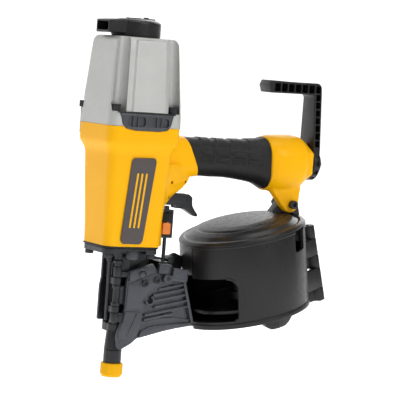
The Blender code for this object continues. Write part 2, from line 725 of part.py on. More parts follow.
def make_contact_arm():
    arm = turned("contact_arm", [
        (6.6, 55.0), (8.2, 55.0), (7.4, 28.5), (9.3, 27.6), (9.3, 14.3), (6.2, 14.3), (6.2, 3.6),
        (3.8, 3.6), (3.8, 30.0), (6.6, 30.0)], 18, "dark_steel")
    side = plate("arm_side", [[
        (-6, 46), (6, 46), (6, 92), (56, 92), (56, 120), (45, 120), (45, 103), (6, 103), (6, 112),
        (-6, 112)]], "Y", 14.3, 17.3)
    foot = box("arm_foot", (-6, 7.1, 46), (6, 16, 54.6))
    bridge = box("arm_bridge", (45.5, -3.5, 112.5), (55.5, 16, 119.6))
    tab = box("arm_tab", (-4.5, 16, 99), (4.5, 27, 102))
    riser = rod("arm_rod", "Z", (ROD_X, 0, 118), 2.0, 49.5, 12)
    fuse(arm, side, foot, bridge, tab, riser)
    return round_off(arm, 30)


def make_no_mar_pad():
    profile = [(6.5, 14.0), (TIP_R - 0.6, 14.0), (TIP_R, 13.2), (TIP_R, 1.2), (TIP_R - 1.2, 0.0),
               (4.2, 0.0), (4.2, 3.2), (6.5, 3.2)]
    return round_off(turned("no_mar_pad", profile, 18, "yellow_rubber"))


# ---------------------------------------------------------------- nose and feed

def make_nose_gasket():
    gasket = plate("nose_gasket", [ring_loop(31.6, 30.0, 9.0), circle(7.0, 16)], "Z", 134.9, 136.3,
                   "black_rubber")
    for sx in (-1, 1):
        for sy in (-1, 1):
            cut(gasket, rod("gasket_hole", "Z", (sx * 24.0, sy * 22.0, 130), 2.7, 12, 8))
    return gasket


def make_nose_casting():
    nose = loft("nose_casting", upright([
        (124.3, 29.4, 27.6, 8.0), (126.0, 30.6, 28.8, 9.0), (134.6, 30.6, 28.8, 9.0)]), "dark_steel")
    neck = box("nose_neck", (-9, -7, 102.0), (10, 12, 126.0))
    guide = box("nose_guide", (-8, 0.2, 66.0), (9, 12, 104.0))
    barrel = rod("nose_barrel", "Z", (0, 0, 44.0), 6.1, 24.0, 24)
    collar = rod("nose_collar", "Z", (0, 0, 66.0), 6.6, 4.0, 24)
    hinge_low = box("nose_hinge_low", (-11.2, -12, 67.4), (-2.8, 4, 74.0))
    hinge_high = box("nose_hinge_high", (-11.2, -12, 96.0), (-2.8, 4, 103.6))
    low_knuckle = rod("nose_knuckle_low", "Z", (*DOOR_HINGE, 67.4), 4.2, 6.6, 16)
    high_knuckle = rod("nose_knuckle_high", "Z", (*DOOR_HINGE, 96.0), 4.2, 7.6, 16)
    web = plate("nose_web", [[(8, 104), (30, 122), (30, 126), (8, 126)]], "Y", -2.5, 2.5)
    fuse(nose, neck, guide, barrel, collar, hinge_low, hinge_high, low_knuckle, high_knuckle, web)
    cut(nose, rod("nose_channel", "Z", (0, 0, 30), CHANNEL_R, 120, 16),
        rod("nose_pin_hole", "Z", (*DOOR_HINGE, 50), 2.5, 70, 12))
    for sx in (-1, 1):
        for sy in (-1, 1):
            cut(nose, rod("nose_bolt_hole", "Z", (sx * 24.0, sy * 22.0, 110), 2.7, 32, 8))
    return round_off(nose, 30)


def make_nose_bolts():
    number = 0
    for sx in (-1, 1):
        for sy in (-1, 1):
            number += 1
            profile = [(0.0, 146.0), (2.4, 146.0), (2.4, 124.0), (4.4, 124.0), (4.4, 120.0),
                       (3.8, 119.4), (2.2, 119.4), (2.2, 121.6), (0.0, 121.6)]
            round_off(turned(f"nose_bolt_{number}", profile, 10, "dark_steel", None,
                             (sx * 24.0, sy * 22.0, 0)))


def make_feed_rail():
    rail = plate("feed_rail", [[
        (10, 60), (20, 46), (46, 50), (62, 53), (84.8, 55.8), (73.2, 99.5), (58, 104), (44, 104),
        (36, 108), (20, 104), (10, 101)]], "Y", 4.2, 8.6, "dark_steel")
    soften(rail, 0.8, 1)
    lower = plate("rail_ledge", [[(12, 59), (21, 49), (46, 53), (62, 56), (60, 60), (46, 57),
                                  (22, 54), (16, 62)]], "Y", -8.0, 6.0)
    keeper = box("rail_keeper", (60, -8.6, 97), (71, 6, 104.5))
    pad = box("rail_pad", (32, 7, 69), (46, 19.5, 83))
    fuse(rail, lower, keeper, pad)
    cut(rail, box("rail_window", (11.4, 0, 71), (26.4, 12, 81)))
    return rail


def make_feed_cylinder():
    body = turned("feed_cylinder", [
        (3.4, 60.0), (3.4, 62.0), (6.5, 62.0), (7.6, 60.6), (7.6, 29.0), (6.8, 27.6), (3.4, 27.6)][1:],
        20, "aluminium", None, (0, FEED_AXIS_Y, FEED_AXIS_Z), "X")
    cut(body, box("feed_cylinder_seat", (20, 10, 60), (70, 19.8, 90)))
    return round_off(body, 30)


def make_feed_pawl():
    pawl = rod("feed_pawl", "X", (12.3, FEED_AXIS_Y, FEED_AXIS_Z), 3.0, 30.0, 12, "dark_steel")
    fuse(pawl, box("pawl_arm", (12.3, 1.2, 72.6), (16.0, 29.0, 79.6)))
    return pawl


def make_nose_door():
    outer, inner = DOOR_OUTER_Y, DOOR_INNER_Y
    door = plate("nose_door", [[
        (-1.5, 40.5), (2, 38.8), (9, 38.6), (19, 41), (46.8, 48.5), (63.4, 52), (84.2, 55.2),
        (71.4, 100.6), (50, 108.8), (37.5, 111.5), (32.9, 118.2), (4.8, 109.6), (3.4, 99),
        (3, 72), (1.5, 60), (-3.4, 47)]], "Y", outer, inner, "dark_steel")
    soften(door, 0.7, 1)
    block = plate("door_block", [[(11, 62), (58, 66), (58, 95), (11, 98)]], "Y", -10.5, -4.4)
    tongue = box("door_tongue", (-1.6, -10.5, 76), (11.5, -3.6, 94))
    low_arm = box("door_arm_low", (-7, outer, 57.4), (6, -9.9, 67.1))
    high_arm = box("door_arm_high", (-7, outer, 104.0), (7, -9.9, 109.0))
    low_knuckle = rod("door_knuckle_low", "Z", (*DOOR_HINGE, 57.4), 4.2, 9.7, 16)
    high_knuckle = rod("door_knuckle_high", "Z", (*DOOR_HINGE, 104.0), 4.2, 10.6, 16)
    fuse(door, block, tongue, low_arm, high_arm, low_knuckle, high_knuckle)
    for k in range(4):
        fuse(door, plate(f"door_rib_{k}", [door_rib(k)], "Y", outer - 2.2, outer + 1.0))
    fuse(door, plate("door_top_bar", [[(6, 104.5), (33, 113), (31.8, 117), (5.4, 108.6)]], "Y",
                     outer - 2.4, outer + 1.0),
         plate("door_foot_bar", [[(-1, 41.5), (19, 42.4), (62, 52.8), (83.6, 55.9), (82.4, 59.8),
                                  (61, 56.6), (18, 46.2), (-2, 45.5)]], "Y", outer - 2.8, outer + 1.0))
    cut(door, rod("door_pin_hole", "Z", (*DOOR_HINGE, 50), 2.5, 70, 12),
        rod("door_rivet_hole", "Y", (19.5, -20, 107.5), 1.9, 20, 12),
        rod("door_screw_hole_a", "Y", (23.7, -20, 98.3), 1.9, 15, 12),
        rod("door_screw_hole_b", "Y", (37.4, -20, 101.9), 1.9, 15, 12),
        rod("door_latch_hole", "Y", (48.0, -20, 103.6), 1.9, 15, 12))
    return set_origin(door, (*DOOR_HINGE, 80))


def door_rib(k):
    """One slanted rib, in the XZ plane."""
    low = 61.0 + 7.0 * k
    start = 27.0 if k < 2 else 33.0
    slope = 0.27
    end = 79.5 - 1.9 * k
    return [(start, low), (end, low + slope * (end - start)), (end - 1.0, low + slope * (end - start) + 2.6),
            (start, low + 2.6)]


def make_door_fasteners():
    seat = DOOR_OUTER_Y
    round_off(turned("door_rivet", [
        (0.0, 5.6), (2.6, 5.0), (4.3, 3.2), (4.3, 2.7), (1.6, 2.7), (1.6, -3.6), (0.0, -3.6)], 16,
        "bright_steel", None, (19.5, seat, 107.5), "Y"))
    bpy.data.objects["door_rivet"].rotation_euler = (math.radians(90), 0, 0)
    for label, x, z in (("a", 23.7, 98.3), ("b", 37.4, 101.9)):
        screw = turned(f"door_screw_{label}", [
            (0.0, 1.2), (1.8, 1.2), (1.8, 3.0), (3.4, 3.0), (3.7, 2.6), (3.7, 0.3), (1.6, 0.3),
            (1.6, -3.6), (0.0, -3.6)], 14, "bright_steel", None, (x, seat, z), "Y")
        screw.rotation_euler = (math.radians(90), 0, 0)
        round_off(screw)


def make_door_latch():
    latch = plate("door_latch", [arc(5.4, 100, 290, 8, (48.0, 103.6)) + [
        (57, 99.4), (66, 97.8), (70.4, 97.6), (71.4, 100.4), (68, 104), (58, 108.0)]], "Y", -18.6, -14.6,
        "dark_steel")
    soften(latch, 0.8, 1)
    cut(latch, rod("latch_hole", "Y", (48.0, -30, 103.6), 1.9, 30, 12))
    set_origin(latch, (48.0, -16.5, 103.6))
    pin = turned("latch_pin", [(0.0, 6.6), (3.0, 6.6), (3.6, 6.0), (3.6, 5.0), (1.6, 5.0),
                               (1.6, -3.6), (0.0, -3.6)], 14, "bright_steel", None,
                 (48.0, DOOR_OUTER_Y, 103.6), "Y")
    pin.rotation_euler = (math.radians(90), 0, 0)
    round_off(pin)


def make_door_pin():
    return rod("door_pin", "Z", (*DOOR_HINGE, 56.0), 2.2, 60.5, 12, "bright_steel")


# ---------------------------------------------------------------- magazine

def make_magazine_base():
    roof = turned("magazine_base", [
        (9.0, 100.2), (30.0, 99.6), (50.0, 96.0), (61.0, 91.4), (66.0, 90.6),
        (69.3, 88.2), (69.3, ROOF_BOTTOM_Z), (65.6, ROOF_BOTTOM_Z), (65.6, 87.0), (60.0, 88.6),
        (48.0, 93.2), (28.0, 96.4), (9.0, 97.0)], 28, "black_plastic", MAG)
    wall = [p for p in arc(DRUM_R, -19, 170, 21)] + [p for p in arc(DRUM_R - DRUM_WALL, 170, -19, 21)]
    far_wall = plate("base_wall", [wall], "Z", 0.0, ROOF_BOTTOM_Z + 1.5, None, MAG)
    floor = plate("base_floor", [arc(DRUM_R - 1.6, -18.4, 169.4, 21)], "Z", 0.0, 3.0, None, MAG)
    post = rod("base_post", "Z", (0, 0, 4.0), 9.4, 96.2, 20, None, MAG)
    bore = rod("base_post_bore", "Z", (0, 0, -10), 6.4, 140, 16, None, MAG)
    fuse(roof, far_wall, floor, post)
    cut(roof, bore)
    for k, (low, high) in enumerate(((-6.0, 8.0), (30.2, 43.8), (62.2, 76.0))):
        fuse(roof, plate(f"base_knuckle_{k}", [[(63.5, -17.0), (66.6, -12.5), (81.0, -13.5)]
                                               + arc(KNUCKLE_R, 90, -120, 7, COVER_HINGE)
                                               + [(74, -20.8), (66.2, -20.8)]],
                         "Z", low, high, None, MAG))
    cut(roof, rod("base_pin_hole", "Z", (*COVER_HINGE, -20), 3.0, 120, 14, None, MAG),
        box("base_floor_trim", (50, -30, -8), (73.5, -23.0, 5), None, MAG))
    return round_off(roof, 30)


def make_magazine_cover():
    wall = arc(DRUM_R, -172, -21, 20) + arc(DRUM_R - DRUM_WALL, -21, -172, 20)
    cover = plate("magazine_cover", [wall], "Z", 1.0, COVER_TOP_Z, "black_plastic", MAG)
    rim = arc(DRUM_R + 1.2, -171.4, -21.6, 20) + arc(DRUM_R - 4.6, -21.6, -171.4, 20)
    floor = arc(DRUM_R - 2.0, -171.8, -22.2, 20)
    fuse(cover, plate("cover_rim", [rim], "Z", -1.0, 4.0, None, MAG),
         plate("cover_floor", [floor], "Z", -0.4, 2.6, None, MAG))
    for k, (low, high) in enumerate(((8.4, 29.8), (44.2, 61.8))):
        fuse(cover, plate(f"cover_knuckle_{k}", [[(60.5, -27.6), (74.0, -23.0), (76, -15.8)]
                                                 + arc(KNUCKLE_R, 140, -80, 7, COVER_HINGE)
                                                 + [(62.0, -33.0), (56.5, -36.8)]],
                          "Z", low, high, None, MAG))
    window = arc(DRUM_R + 10, -166, -124, 8) + arc(DRUM_R - 12, -124, -166, 8)
    cut(cover, rod("cover_pin_hole", "Z", (*COVER_HINGE, -20), 3.0, 120, 14, None, MAG),
        plate("cover_window", [window], "Z", 6.5, 51.0, None, MAG))
    round_off(cover, 30)
    return set_origin(cover, (*COVER_HINGE, 0))


def make_cover_pin():
    return rod("cover_pin", "Z", (*COVER_HINGE, -7.5), 2.7, 85.0, 14, "bright_steel", MAG)


def make_nail_tray():
    profile = [(9.8, 24.0), (13.5, 24.0), (14.5, 16.0), (60.0, 14.0), (60.0, 11.5), (12.0, 11.5),
               (12.0, 8.0), (9.8, 8.0)]
    return round_off(turned("nail_tray", profile, 20, "black_plastic", MAG))


def make_magazine_bracket():
    bracket = plate("magazine_bracket", [[
        (70.2, 30), (80, 30), (80, 95), (78.3, 101.5), (75, 105.6), (70.2, 107.2), (65.2, 105.8),
        (62.2, 101), (62.5, 95.6), (66.5, 93.6), (70.2, 90.8)]], "Y", -6.5, 6.5, "dark_steel", MAG)
    soften(bracket, 1.0, 2, 50)
    bolt = (70.2, 99.2)
    cut(bracket, rod("bracket_hole", "Y", (bolt[0], -20, bolt[1]), 3.4, 40, 16, None, MAG))
    return bracket


def make_bracket_fasteners():
    x, z = LUG_BOLT
    profile = [(0.0, 21.6 - 2.6), (2.6, 19.0), (2.6, 21.6), (4.9, 21.6), (5.6, 20.9), (5.6, 15.4),
               (3.0, 15.4), (3.0, -20.5), (0.0, -20.5)]
    bolt = turned("bracket_bolt", profile, 16, "dark_steel", None, (x, 0, z), "Y")
    bolt.rotation_euler = (math.radians(90), 0, 0)
    round_off(bolt)
    nut = plate("bracket_nut", [circle(5.6, 6, (x, z)), circle(3.25, 16, (x, z))], "Y", 15.4, 20.0,
                "dark_steel")
    return nut


def make_rest_foot():
    foot = plate("rest_foot", [[(-6, -62), (4, -64.5), (22, -58), (26, -42), (-4, -44)]], "Z", -9.5,
                 -1.4, "black_rubber", MAG)
    return soften(foot, 1.6, 2, 50)


def build():
    make_main_housing()
    make_cylinder_cap()
    make_cap_bolts()
    make_muffler_bands()
    make_badges()
    make_grip_sleeve()
    make_end_plate()
    make_air_inlet()
    make_rafter_hook()
    make_deflector()
    make_deflector_screw()
    make_cylinder_sleeve()
    make_piston()
    make_piston_ring()
    make_driver_blade()
    make_bumper()
    make_head_valve()
    spring("head_valve_spring", (0, 0), 20.0, 1.4, 279.4, 332.6, 4, 12, "bright_steel")
    make_trigger()
    make_trigger_lever()
    make_trigger_pins()
    make_trigger_valve()
    make_trip_link()
    make_trip_bushing()
    make_depth_wheel()
    make_contact_arm()
    make_no_mar_pad()
    spring("trip_spring", (0, 22), 3.4, 0.7, 102.4, 123.9, 5, 8, "bright_steel")
    make_nose_gasket()
    make_nose_casting()
    make_nose_bolts()
    make_feed_rail()
    make_feed_cylinder()
    make_feed_pawl()
    make_nose_door()
    make_door_fasteners()
    make_door_latch()
    make_door_pin()
    make_magazine_base()
    make_magazine_cover()
    make_cover_pin()
    make_nail_tray()
    make_magazine_bracket()
    make_bracket_fasteners()
    make_rest_foot()


clear_scene()
PARTS = make_collection("coil_nail_gun", False)
CUTTERS = make_collection("cutters", True)
FRAME = bpy.data.objects.new("tool_frame", None)
PARTS.objects.link(FRAME)
FRAME.location = (DRIVE_AXIS_X * MM, 0.0, 0.0)
MAG = bpy.data.objects.new("magazine_frame", None)
PARTS.objects.link(MAG)
MAG.parent = FRAME
MAG.location = Vector(MAG_CENTRE) * MM
MAG.rotation_euler = (0.0, -MAG_TILT, 0.0)
make_materials()
build()
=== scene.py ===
import math

import bmesh
import bpy
import numpy as np
from mathutils import Matrix, Vector


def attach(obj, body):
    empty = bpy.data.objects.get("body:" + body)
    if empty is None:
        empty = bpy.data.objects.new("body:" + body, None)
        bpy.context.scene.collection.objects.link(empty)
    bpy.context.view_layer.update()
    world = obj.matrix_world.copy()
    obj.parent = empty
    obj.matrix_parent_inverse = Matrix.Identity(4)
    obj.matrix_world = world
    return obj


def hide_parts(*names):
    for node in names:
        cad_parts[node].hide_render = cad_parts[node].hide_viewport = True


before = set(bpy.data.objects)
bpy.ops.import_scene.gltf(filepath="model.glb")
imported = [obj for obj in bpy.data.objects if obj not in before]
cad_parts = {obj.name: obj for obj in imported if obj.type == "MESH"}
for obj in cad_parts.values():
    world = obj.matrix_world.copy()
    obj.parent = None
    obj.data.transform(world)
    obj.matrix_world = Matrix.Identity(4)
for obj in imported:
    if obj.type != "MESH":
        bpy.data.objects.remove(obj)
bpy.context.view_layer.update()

# Lengths are in millimetres of the tool frame until a piece is placed: the drive axis is
# X = 0, Y = 0, the tip of the nose stands at Z = 0 and the handle runs along +X.
# The magazine has its own frame, tilted, with Z along the drum's axis.
MM = 0.001
TOOL = Matrix.Translation((-0.098, 0.0, 0.0)) @ Matrix.Scale(MM, 4)
MAG_TILT = math.radians(15.0)
MAG_X, MAG_Z = 153.3, 69.4
MAG = TOOL @ Matrix.Translation((MAG_X, 0.0, MAG_Z)) @ Matrix.Rotation(-MAG_TILT, 4, "Y")

BORE_R = 25.5
BODY_BOTTOM = 136.6
CAP_BOTTOM = 258.6
FLANGE_Z = 129.0
HANDLE_Z = 229.0
INLET_R = 12.3
BADGE_SLOPE = 0.0567
TRIGGER_PIN = (40.4, 188.6)
TRIP_X = 50.5
DRUM_R = 68.6
DRUM_WALL = 3.0
COVER_HINGE = (81.0, -20.0)
DOOR_HINGE = (-7.0, -12.0)
DOOR_FACE = -14.0
DOOR_RIVET = (19.5, 107.5)
DOOR_SCREWS = [(23.7, 98.3), (37.4, 101.9)]
LATCH_PIVOT = (48.0, 103.6)
LUG_BOLT = (192.0, 184.8)
CAP_BOLTS = [(-32.8, -32.2), (-36.4, 33.4), (32.2, -32.2), (32.2, 32.2)]


# Mesh helpers

def tidy_mesh(mesh, merge=1e-4):
    work = bmesh.new()
    work.from_mesh(mesh)
    bmesh.ops.remove_doubles(work, verts=work.verts, dist=merge)
    bmesh.ops.recalc_face_normals(work, faces=work.faces)
    work.to_mesh(mesh)
    work.free()


def wrap(mesh, name="part"):
    obj = bpy.data.objects.new(name, mesh)
    bpy.context.scene.collection.objects.link(obj)
    return obj


def solid(points, faces):
    mesh = bpy.data.meshes.new("part")
    mesh.from_pydata([tuple(p) for p in points], [], faces)
    tidy_mesh(mesh)
    return wrap(mesh)


def evaluated(obj):
    """A new mesh of the object as its modifiers or its bevel make it."""
    graph = bpy.context.evaluated_depsgraph_get()
    return bpy.data.meshes.new_from_object(obj.evaluated_get(graph))


def applied(obj):
    mesh = evaluated(obj)
    obj.modifiers.clear()
    obj.data = mesh
    return obj


def modify(obj, kind, **settings):
    mod = obj.modifiers.new(kind.lower(), kind)
    for key, value in settings.items():
        setattr(mod, key, value)


def add_line(curve, places):
    spline = curve.splines.new("POLY")
    spline.points.add(len(places) - 1)
    for point, place in zip(spline.points, places):
        point.co = (*place, 1.0)
    return spline


def mesh_of(curve):
    holder = wrap(curve)
    mesh = evaluated(holder)
    bpy.data.objects.remove(holder, do_unlink=True)
    return mesh


def moved(obj, place, turn=0.0):
    """Turns a piece about X, then moves it."""
    obj.data.transform(Matrix.Translation(place) @ Matrix.Rotation(turn, 4, "X"))
    return obj


def joined(*objs):
    """All the objects' meshes in the first one; the others are removed."""
    work = bmesh.new()
    for obj in objs:
        work.from_mesh(obj.data)
    work.to_mesh(objs[0].data)
    work.free()
    for obj in objs[1:]:
        bpy.data.objects.remove(obj, do_unlink=True)
    return objs[0]


def combine(obj, tools, operation):
    for tool in tools:
        modify(obj, "BOOLEAN", object=tool, operation=operation, solver="EXACT")
    applied(obj)
    for tool in tools:
        bpy.data.objects.remove(tool, do_unlink=True)
    return obj


def cut(obj, *tools):
    return combine(obj, tools, "DIFFERENCE")


def cast(obj, voxel, rounds):
    """One skin over overlapping solids, its corners and joints run together as in a casting."""
    modify(obj, "REMESH", mode="VOXEL", voxel_size=voxel, adaptivity=0.0)
    modify(obj, "SMOOTH", factor=0.5, iterations=rounds)
    return applied(obj)


def bevel_edges(obj, width):
    modify(obj, "BEVEL", width=width, segments=2, limit_method="ANGLE",
           angle_limit=math.radians(32.0))


def polar(radius, angle, centre=(0.0, 0.0)):
    return (centre[0] + radius * math.cos(angle), centre[1] + radius * math.sin(angle))


def circle(radius, steps, centre=(0.0, 0.0), start=0.0):
    return [polar(radius, start + 2 * math.pi * i / steps, centre) for i in range(steps)]


def arc(radius, first, last, steps, centre=(0.0, 0.0)):
    """Points from the first angle to the last, in degrees."""
    return [polar(radius, math.radians(first + (last - first) * i / steps), centre)
            for i in range(steps + 1)]


def span(side, near, far):
    """The low and high Y of something from near to far on one side of the tool."""
    return sorted((side * near, side * far))


def layer(low, high):
    """A block over the whole body between two heights."""
    return box((-60, -60, low), (60, 60, high))


def signs():
    return [(sx, sy) for sx in (-1, 1) for sy in (-1, 1)]


def rounded(outline, radius, steps=4, closed=True):
    """The outline with its corners turned into arcs; radius is one number or one per corner."""
    out = []
    count = len(outline)
    for i, point in enumerate(outline):
        r = radius[i] if hasattr(radius, "__len__") else radius
        if r <= 0 or (not closed and i in (0, count - 1)):
            out.append(tuple(point))
            continue
        p = Vector(point)
        a = Vector(outline[i - 1]) - p
        b = Vector(outline[(i + 1) % count]) - p
        half = a.angle(b) / 2
        if half > math.radians(88.0):
            out.append(tuple(point))
            continue
        reach = min(r / math.tan(half), 0.48 * a.length, 0.48 * b.length)
        r = reach * math.tan(half)
        a.normalize()
        b.normalize()
        centre = p + (a + b).normalized() * (r / math.sin(half))
        start, end = p + a * reach - centre, p + b * reach - centre
        first = math.atan2(start.y, start.x)
        turn = (math.atan2(end.y, end.x) - first + math.pi) % (2 * math.pi) - math.pi
        for k in range(steps + 1):
            angle = first + turn * k / steps
            out.append(polar(r, angle, centre))
    return out


AXIS_TURN = {
    "Z": Matrix.Identity(4),
    "X": Matrix(((0, 0, 1, 0), (1, 0, 0, 0), (0, 1, 0, 0), (0, 0, 0, 1))),
    "Y": Matrix(((1, 0, 0, 0), (0, 0, -1, 0), (0, 1, 0, 0), (0, 0, 0, 1))),
}


def plate(outlines, axis, low, high, edge=0.0):
    """An outline, with holes if more are given, extruded along an axis, its edges rounded."""
    curve = bpy.data.curves.new("outline", "CURVE")
    curve.dimensions = "2D"
    curve.fill_mode = "BOTH"
    curve.extrude = (high - low) / 2.0 - edge
    curve.bevel_depth = edge
    curve.bevel_resolution = 2
    curve.offset = -edge
    for outline in outlines:
        add_line(curve, [(a, b, 0.0) for a, b in outline]).use_cyclic_u = True
    mesh = mesh_of(curve)
    middle = Vector()
    middle["XYZ".index(axis)] = (high + low) / 2.0
    mesh.transform(Matrix.Translation(middle) @ AXIS_TURN[axis])
    tidy_mesh(mesh, 1e-3)
    return wrap(mesh)


def box(low, high, edge=0.0):
    (x0, y0, z0), (x1, y1, z1) = low, high
    points = [(x, y, z) for z in (z0, z1) for x, y in ((x0, y0), (x1, y0), (x1, y1), (x0, y1))]
    faces = [(3, 2, 1, 0), (4, 5, 6, 7), (0, 1, 5, 4), (1, 2, 6, 5), (2, 3, 7, 6), (3, 0, 4, 7)]
    obj = solid(points, faces)
    if edge:
        bevel_edges(obj, edge)
        applied(obj)
    return obj


def turned(profile, steps=48, axis="Z", centre=(0, 0, 0), edge=0.0):
    """A profile of (radius, height) swept round an axis, its corners rounded by edge."""
    open_ends = min(r for r, _ in profile) <= 0.0
    if edge:
        profile = rounded(profile, edge, 3, closed=not open_ends)
    count = len(profile)
    points, faces = [], []
    for k in range(steps):
        points += [(*polar(r, 2 * math.pi * k / steps), z) for r, z in profile]
        base, after = k * count, ((k + 1) % steps) * count
        for i in range(count - (1 if open_ends else 0)):
            j = (i + 1) % count
            faces.append((base + i, base + j, after + j, after + i))
    obj = solid(points, faces)
    work = bmesh.new()
    work.from_mesh(obj.data)
    bmesh.ops.dissolve_degenerate(work, edges=work.edges, dist=1e-5)
    work.to_mesh(obj.data)
    work.free()
    obj.data.transform(Matrix.Translation(centre) @ AXIS_TURN[axis])
    return obj


def rod(axis, start, radius, length, steps=24, edge=0.0):
    profile = [(0, 0), (radius, 0), (radius, length), (0, length)]
    return turned(profile, steps, axis, start, edge)


def tube(axis, centre, inner, outer, low, high, steps, edge):
    """A short pipe from low to high along an axis."""
    return turned([(inner, low), (outer, low), (outer, high), (inner, high)], steps, axis, centre,
                  edge)


def ring_loop(half_a, half_b, corner, per_corner=8):
    """A rectangle of two half widths with round corners."""
    loop = []
    for quarter, (sa, sb) in enumerate(((1, 1), (-1, 1), (-1, -1), (1, -1))):
        for step in range(per_corner + 1):
            angle = math.radians(90.0 * quarter + 90.0 * step / per_corner)
            loop.append((sa * (half_a - corner) + corner * math.cos(angle),
                         sb * (half_b - corner) + corner * math.sin(angle)))
    return loop


def loft(loops):
    """A closed skin over loops of equal point counts."""
    count = len(loops[0])
    points = [point for loop in loops for point in loop]
    faces = []
    for row in range(len(loops) - 1):
        base = row * count
        for i in range(count):
            j = (i + 1) % count
            faces.append((base + i, base + j, base + count + j, base + count + i))
    faces.append(tuple(range(count))[::-1])
    faces.append(tuple(range((len(loops) - 1) * count, len(loops) * count)))
    return solid(points, faces)


def between(sections, step):
    """Sections along a smooth curve through the given ones, about one every step."""
    rows = [list(map(float, s)) for s in sections]
    out = []
    for i in range(len(rows) - 1):
        p0, p1 = np.array(rows[max(i - 1, 0)]), np.array(rows[i])
        p2, p3 = np.array(rows[i + 1]), np.array(rows[min(i + 2, len(rows) - 1)])
        m1 = (p2 - p0) / max(p2[0] - p0[0], 1e-6) * (p2[0] - p1[0])
        m2 = (p3 - p1) / max(p3[0] - p1[0], 1e-6) * (p2[0] - p1[0])
        pieces = max(1, round((p2[0] - p1[0]) / step))
        for k in range(pieces):
            t = k / pieces
            value = ((2 * t**3 - 3 * t**2 + 1) * p1 + (t**3 - 2 * t**2 + t) * m1
                     + (-2 * t**3 + 3 * t**2) * p2 + (t**3 - t**2) * m2)
            value[0] = p1[0] + (p2[0] - p1[0]) * t
            out.append(tuple(value))
    out.append(tuple(rows[-1]))
    return out


def upright(sections):
    return loft([[(a, b, z) for a, b in ring_loop(hx, hy, corner)]
                 for z, hx, hy, corner in sections])


def along_handle(sections, step):
    """A skin along the handle; lean tilts a section's top towards +X."""
    return loft([[(x + lean * b, a, zc + b) for a, b in ring_loop(hy, hz, corner)]
                 for x, zc, hy, hz, corner, lean in between(sections, step)])


# Materials

def plug(tree, made, values):
    """Links a node's inputs to other nodes' outputs, or sets them."""
    for key, value in values.items():
        if isinstance(value, bpy.types.NodeSocket):
            tree.links.new(value, made.inputs[key])
        else:
            made.inputs[key].default_value = value


def node(tree, kind, values, **settings):
    made = tree.nodes.new(kind)
    for key, value in settings.items():
        setattr(made, key, value)
    plug(tree, made, values)
    return made


def noise(tree, place, scale, detail=4.0, rough=0.55):
    return node(tree, "ShaderNodeTexNoise", {"Vector": place, "Scale": scale, "Detail": detail,
                                             "Roughness": rough}).outputs["Fac"]


def ramp(tree, value, low, high, to_low=0.0, to_high=1.0):
    return node(tree, "ShaderNodeMapRange",
                {"Value": value, "From Min": low, "From Max": high, "To Min": to_low,
                 "To Max": to_high}).outputs["Result"]


def mixed(tree, factor, first, second):
    return node(tree, "ShaderNodeMix", {"Factor": factor, 6: first, 7: second},
                data_type="RGBA").outputs[2]


def times(tree, first, second):
    return node(tree, "ShaderNodeMath", {0: first, 1: second}, operation="MULTIPLY").outputs[0]


def object_place(tree):
    return node(tree, "ShaderNodeTexCoord", {}).outputs["Object"]


def tinted(colour, share=1.0):
    return (*(min(1.0, c * share) for c in colour), 1.0)


def finish(name, base, rough, worn_and_highlight, metal=0.0, tone=0.12, grain=1400.0, depth=0.05, pits=0.0,
           wear_and_highlight=0.5, edge=0.45, coat=0.0, spec=0.5, brush=None):
    """A procedural finish: blotches of tone, a moulded or cast grain, and edges in a lighter colour,
    as wear and as a painted highlight.
    """
    made = bpy.data.materials.new(name)
    made.use_nodes = True
    tree = made.node_tree
    place = fine_place = object_place(tree)
    if brush:
        stretch = node(tree, "ShaderNodeMapping", {"Vector": place, "Scale": brush})
        fine_place = stretch.outputs["Vector"]
    fine = noise(tree, fine_place, grain, 2.0, 0.6)
    dark, light = tinted(base, 1.0 - tone), tinted(base, 1.0 + tone)
    patches = mixed(tree, ramp(tree, noise(tree, place, 38.0, 5.0), 0.3, 0.7), dark, light)
    specks = mixed(tree, ramp(tree, fine, 0.35, 0.75), dark, light)
    # An edge is where the rounded normal turns away from the true one; it takes the lighter edge
    # colour in patches, as wear and as a painted highlight.
    bevel = node(tree, "ShaderNodeBevel", {"Radius": edge * MM}, samples=4)
    geometry = node(tree, "ShaderNodeNewGeometry", {})
    dot = node(tree, "ShaderNodeVectorMath", {0: bevel.outputs["Normal"],
                                              1: geometry.outputs["Normal"]},
               operation="DOT_PRODUCT")
    rub_and_highlight = ramp(tree, dot.outputs["Value"], 0.985, 0.86)
    patchy = ramp(tree, noise(tree, place, 160.0, 4.0, 0.7), 0.42, 0.66)
    colour = mixed(tree, times(tree, times(tree, rub_and_highlight, patchy), wear_and_highlight),
                   mixed(tree, 0.45, patches, specks), tinted(worn_and_highlight))
    roughness = ramp(tree, noise(tree, place, 240.0, 3.0), 0.3, 0.7, max(0.05, rough - 0.07),
                     min(1.0, rough + 0.07))
    bump = node(tree, "ShaderNodeBump", {"Strength": 1.0, "Distance": depth * MM, "Height": fine})
    if pits:
        cells = node(tree, "ShaderNodeTexVoronoi", {"Vector": place, "Scale": pits})
        bump = node(tree, "ShaderNodeBump", {"Strength": 0.25, "Distance": depth * MM * 2.0,
                                             "Height": cells.outputs["Distance"],
                                             "Normal": bump.outputs["Normal"]})
    plug(tree, tree.nodes["Principled BSDF"],
         {"Base Color": colour, "Roughness": roughness, "Normal": bump.outputs["Normal"],
          "Metallic": metal, "Specular IOR Level": spec, "Coat Weight": coat,
          "Coat Roughness": 0.18})
    return made


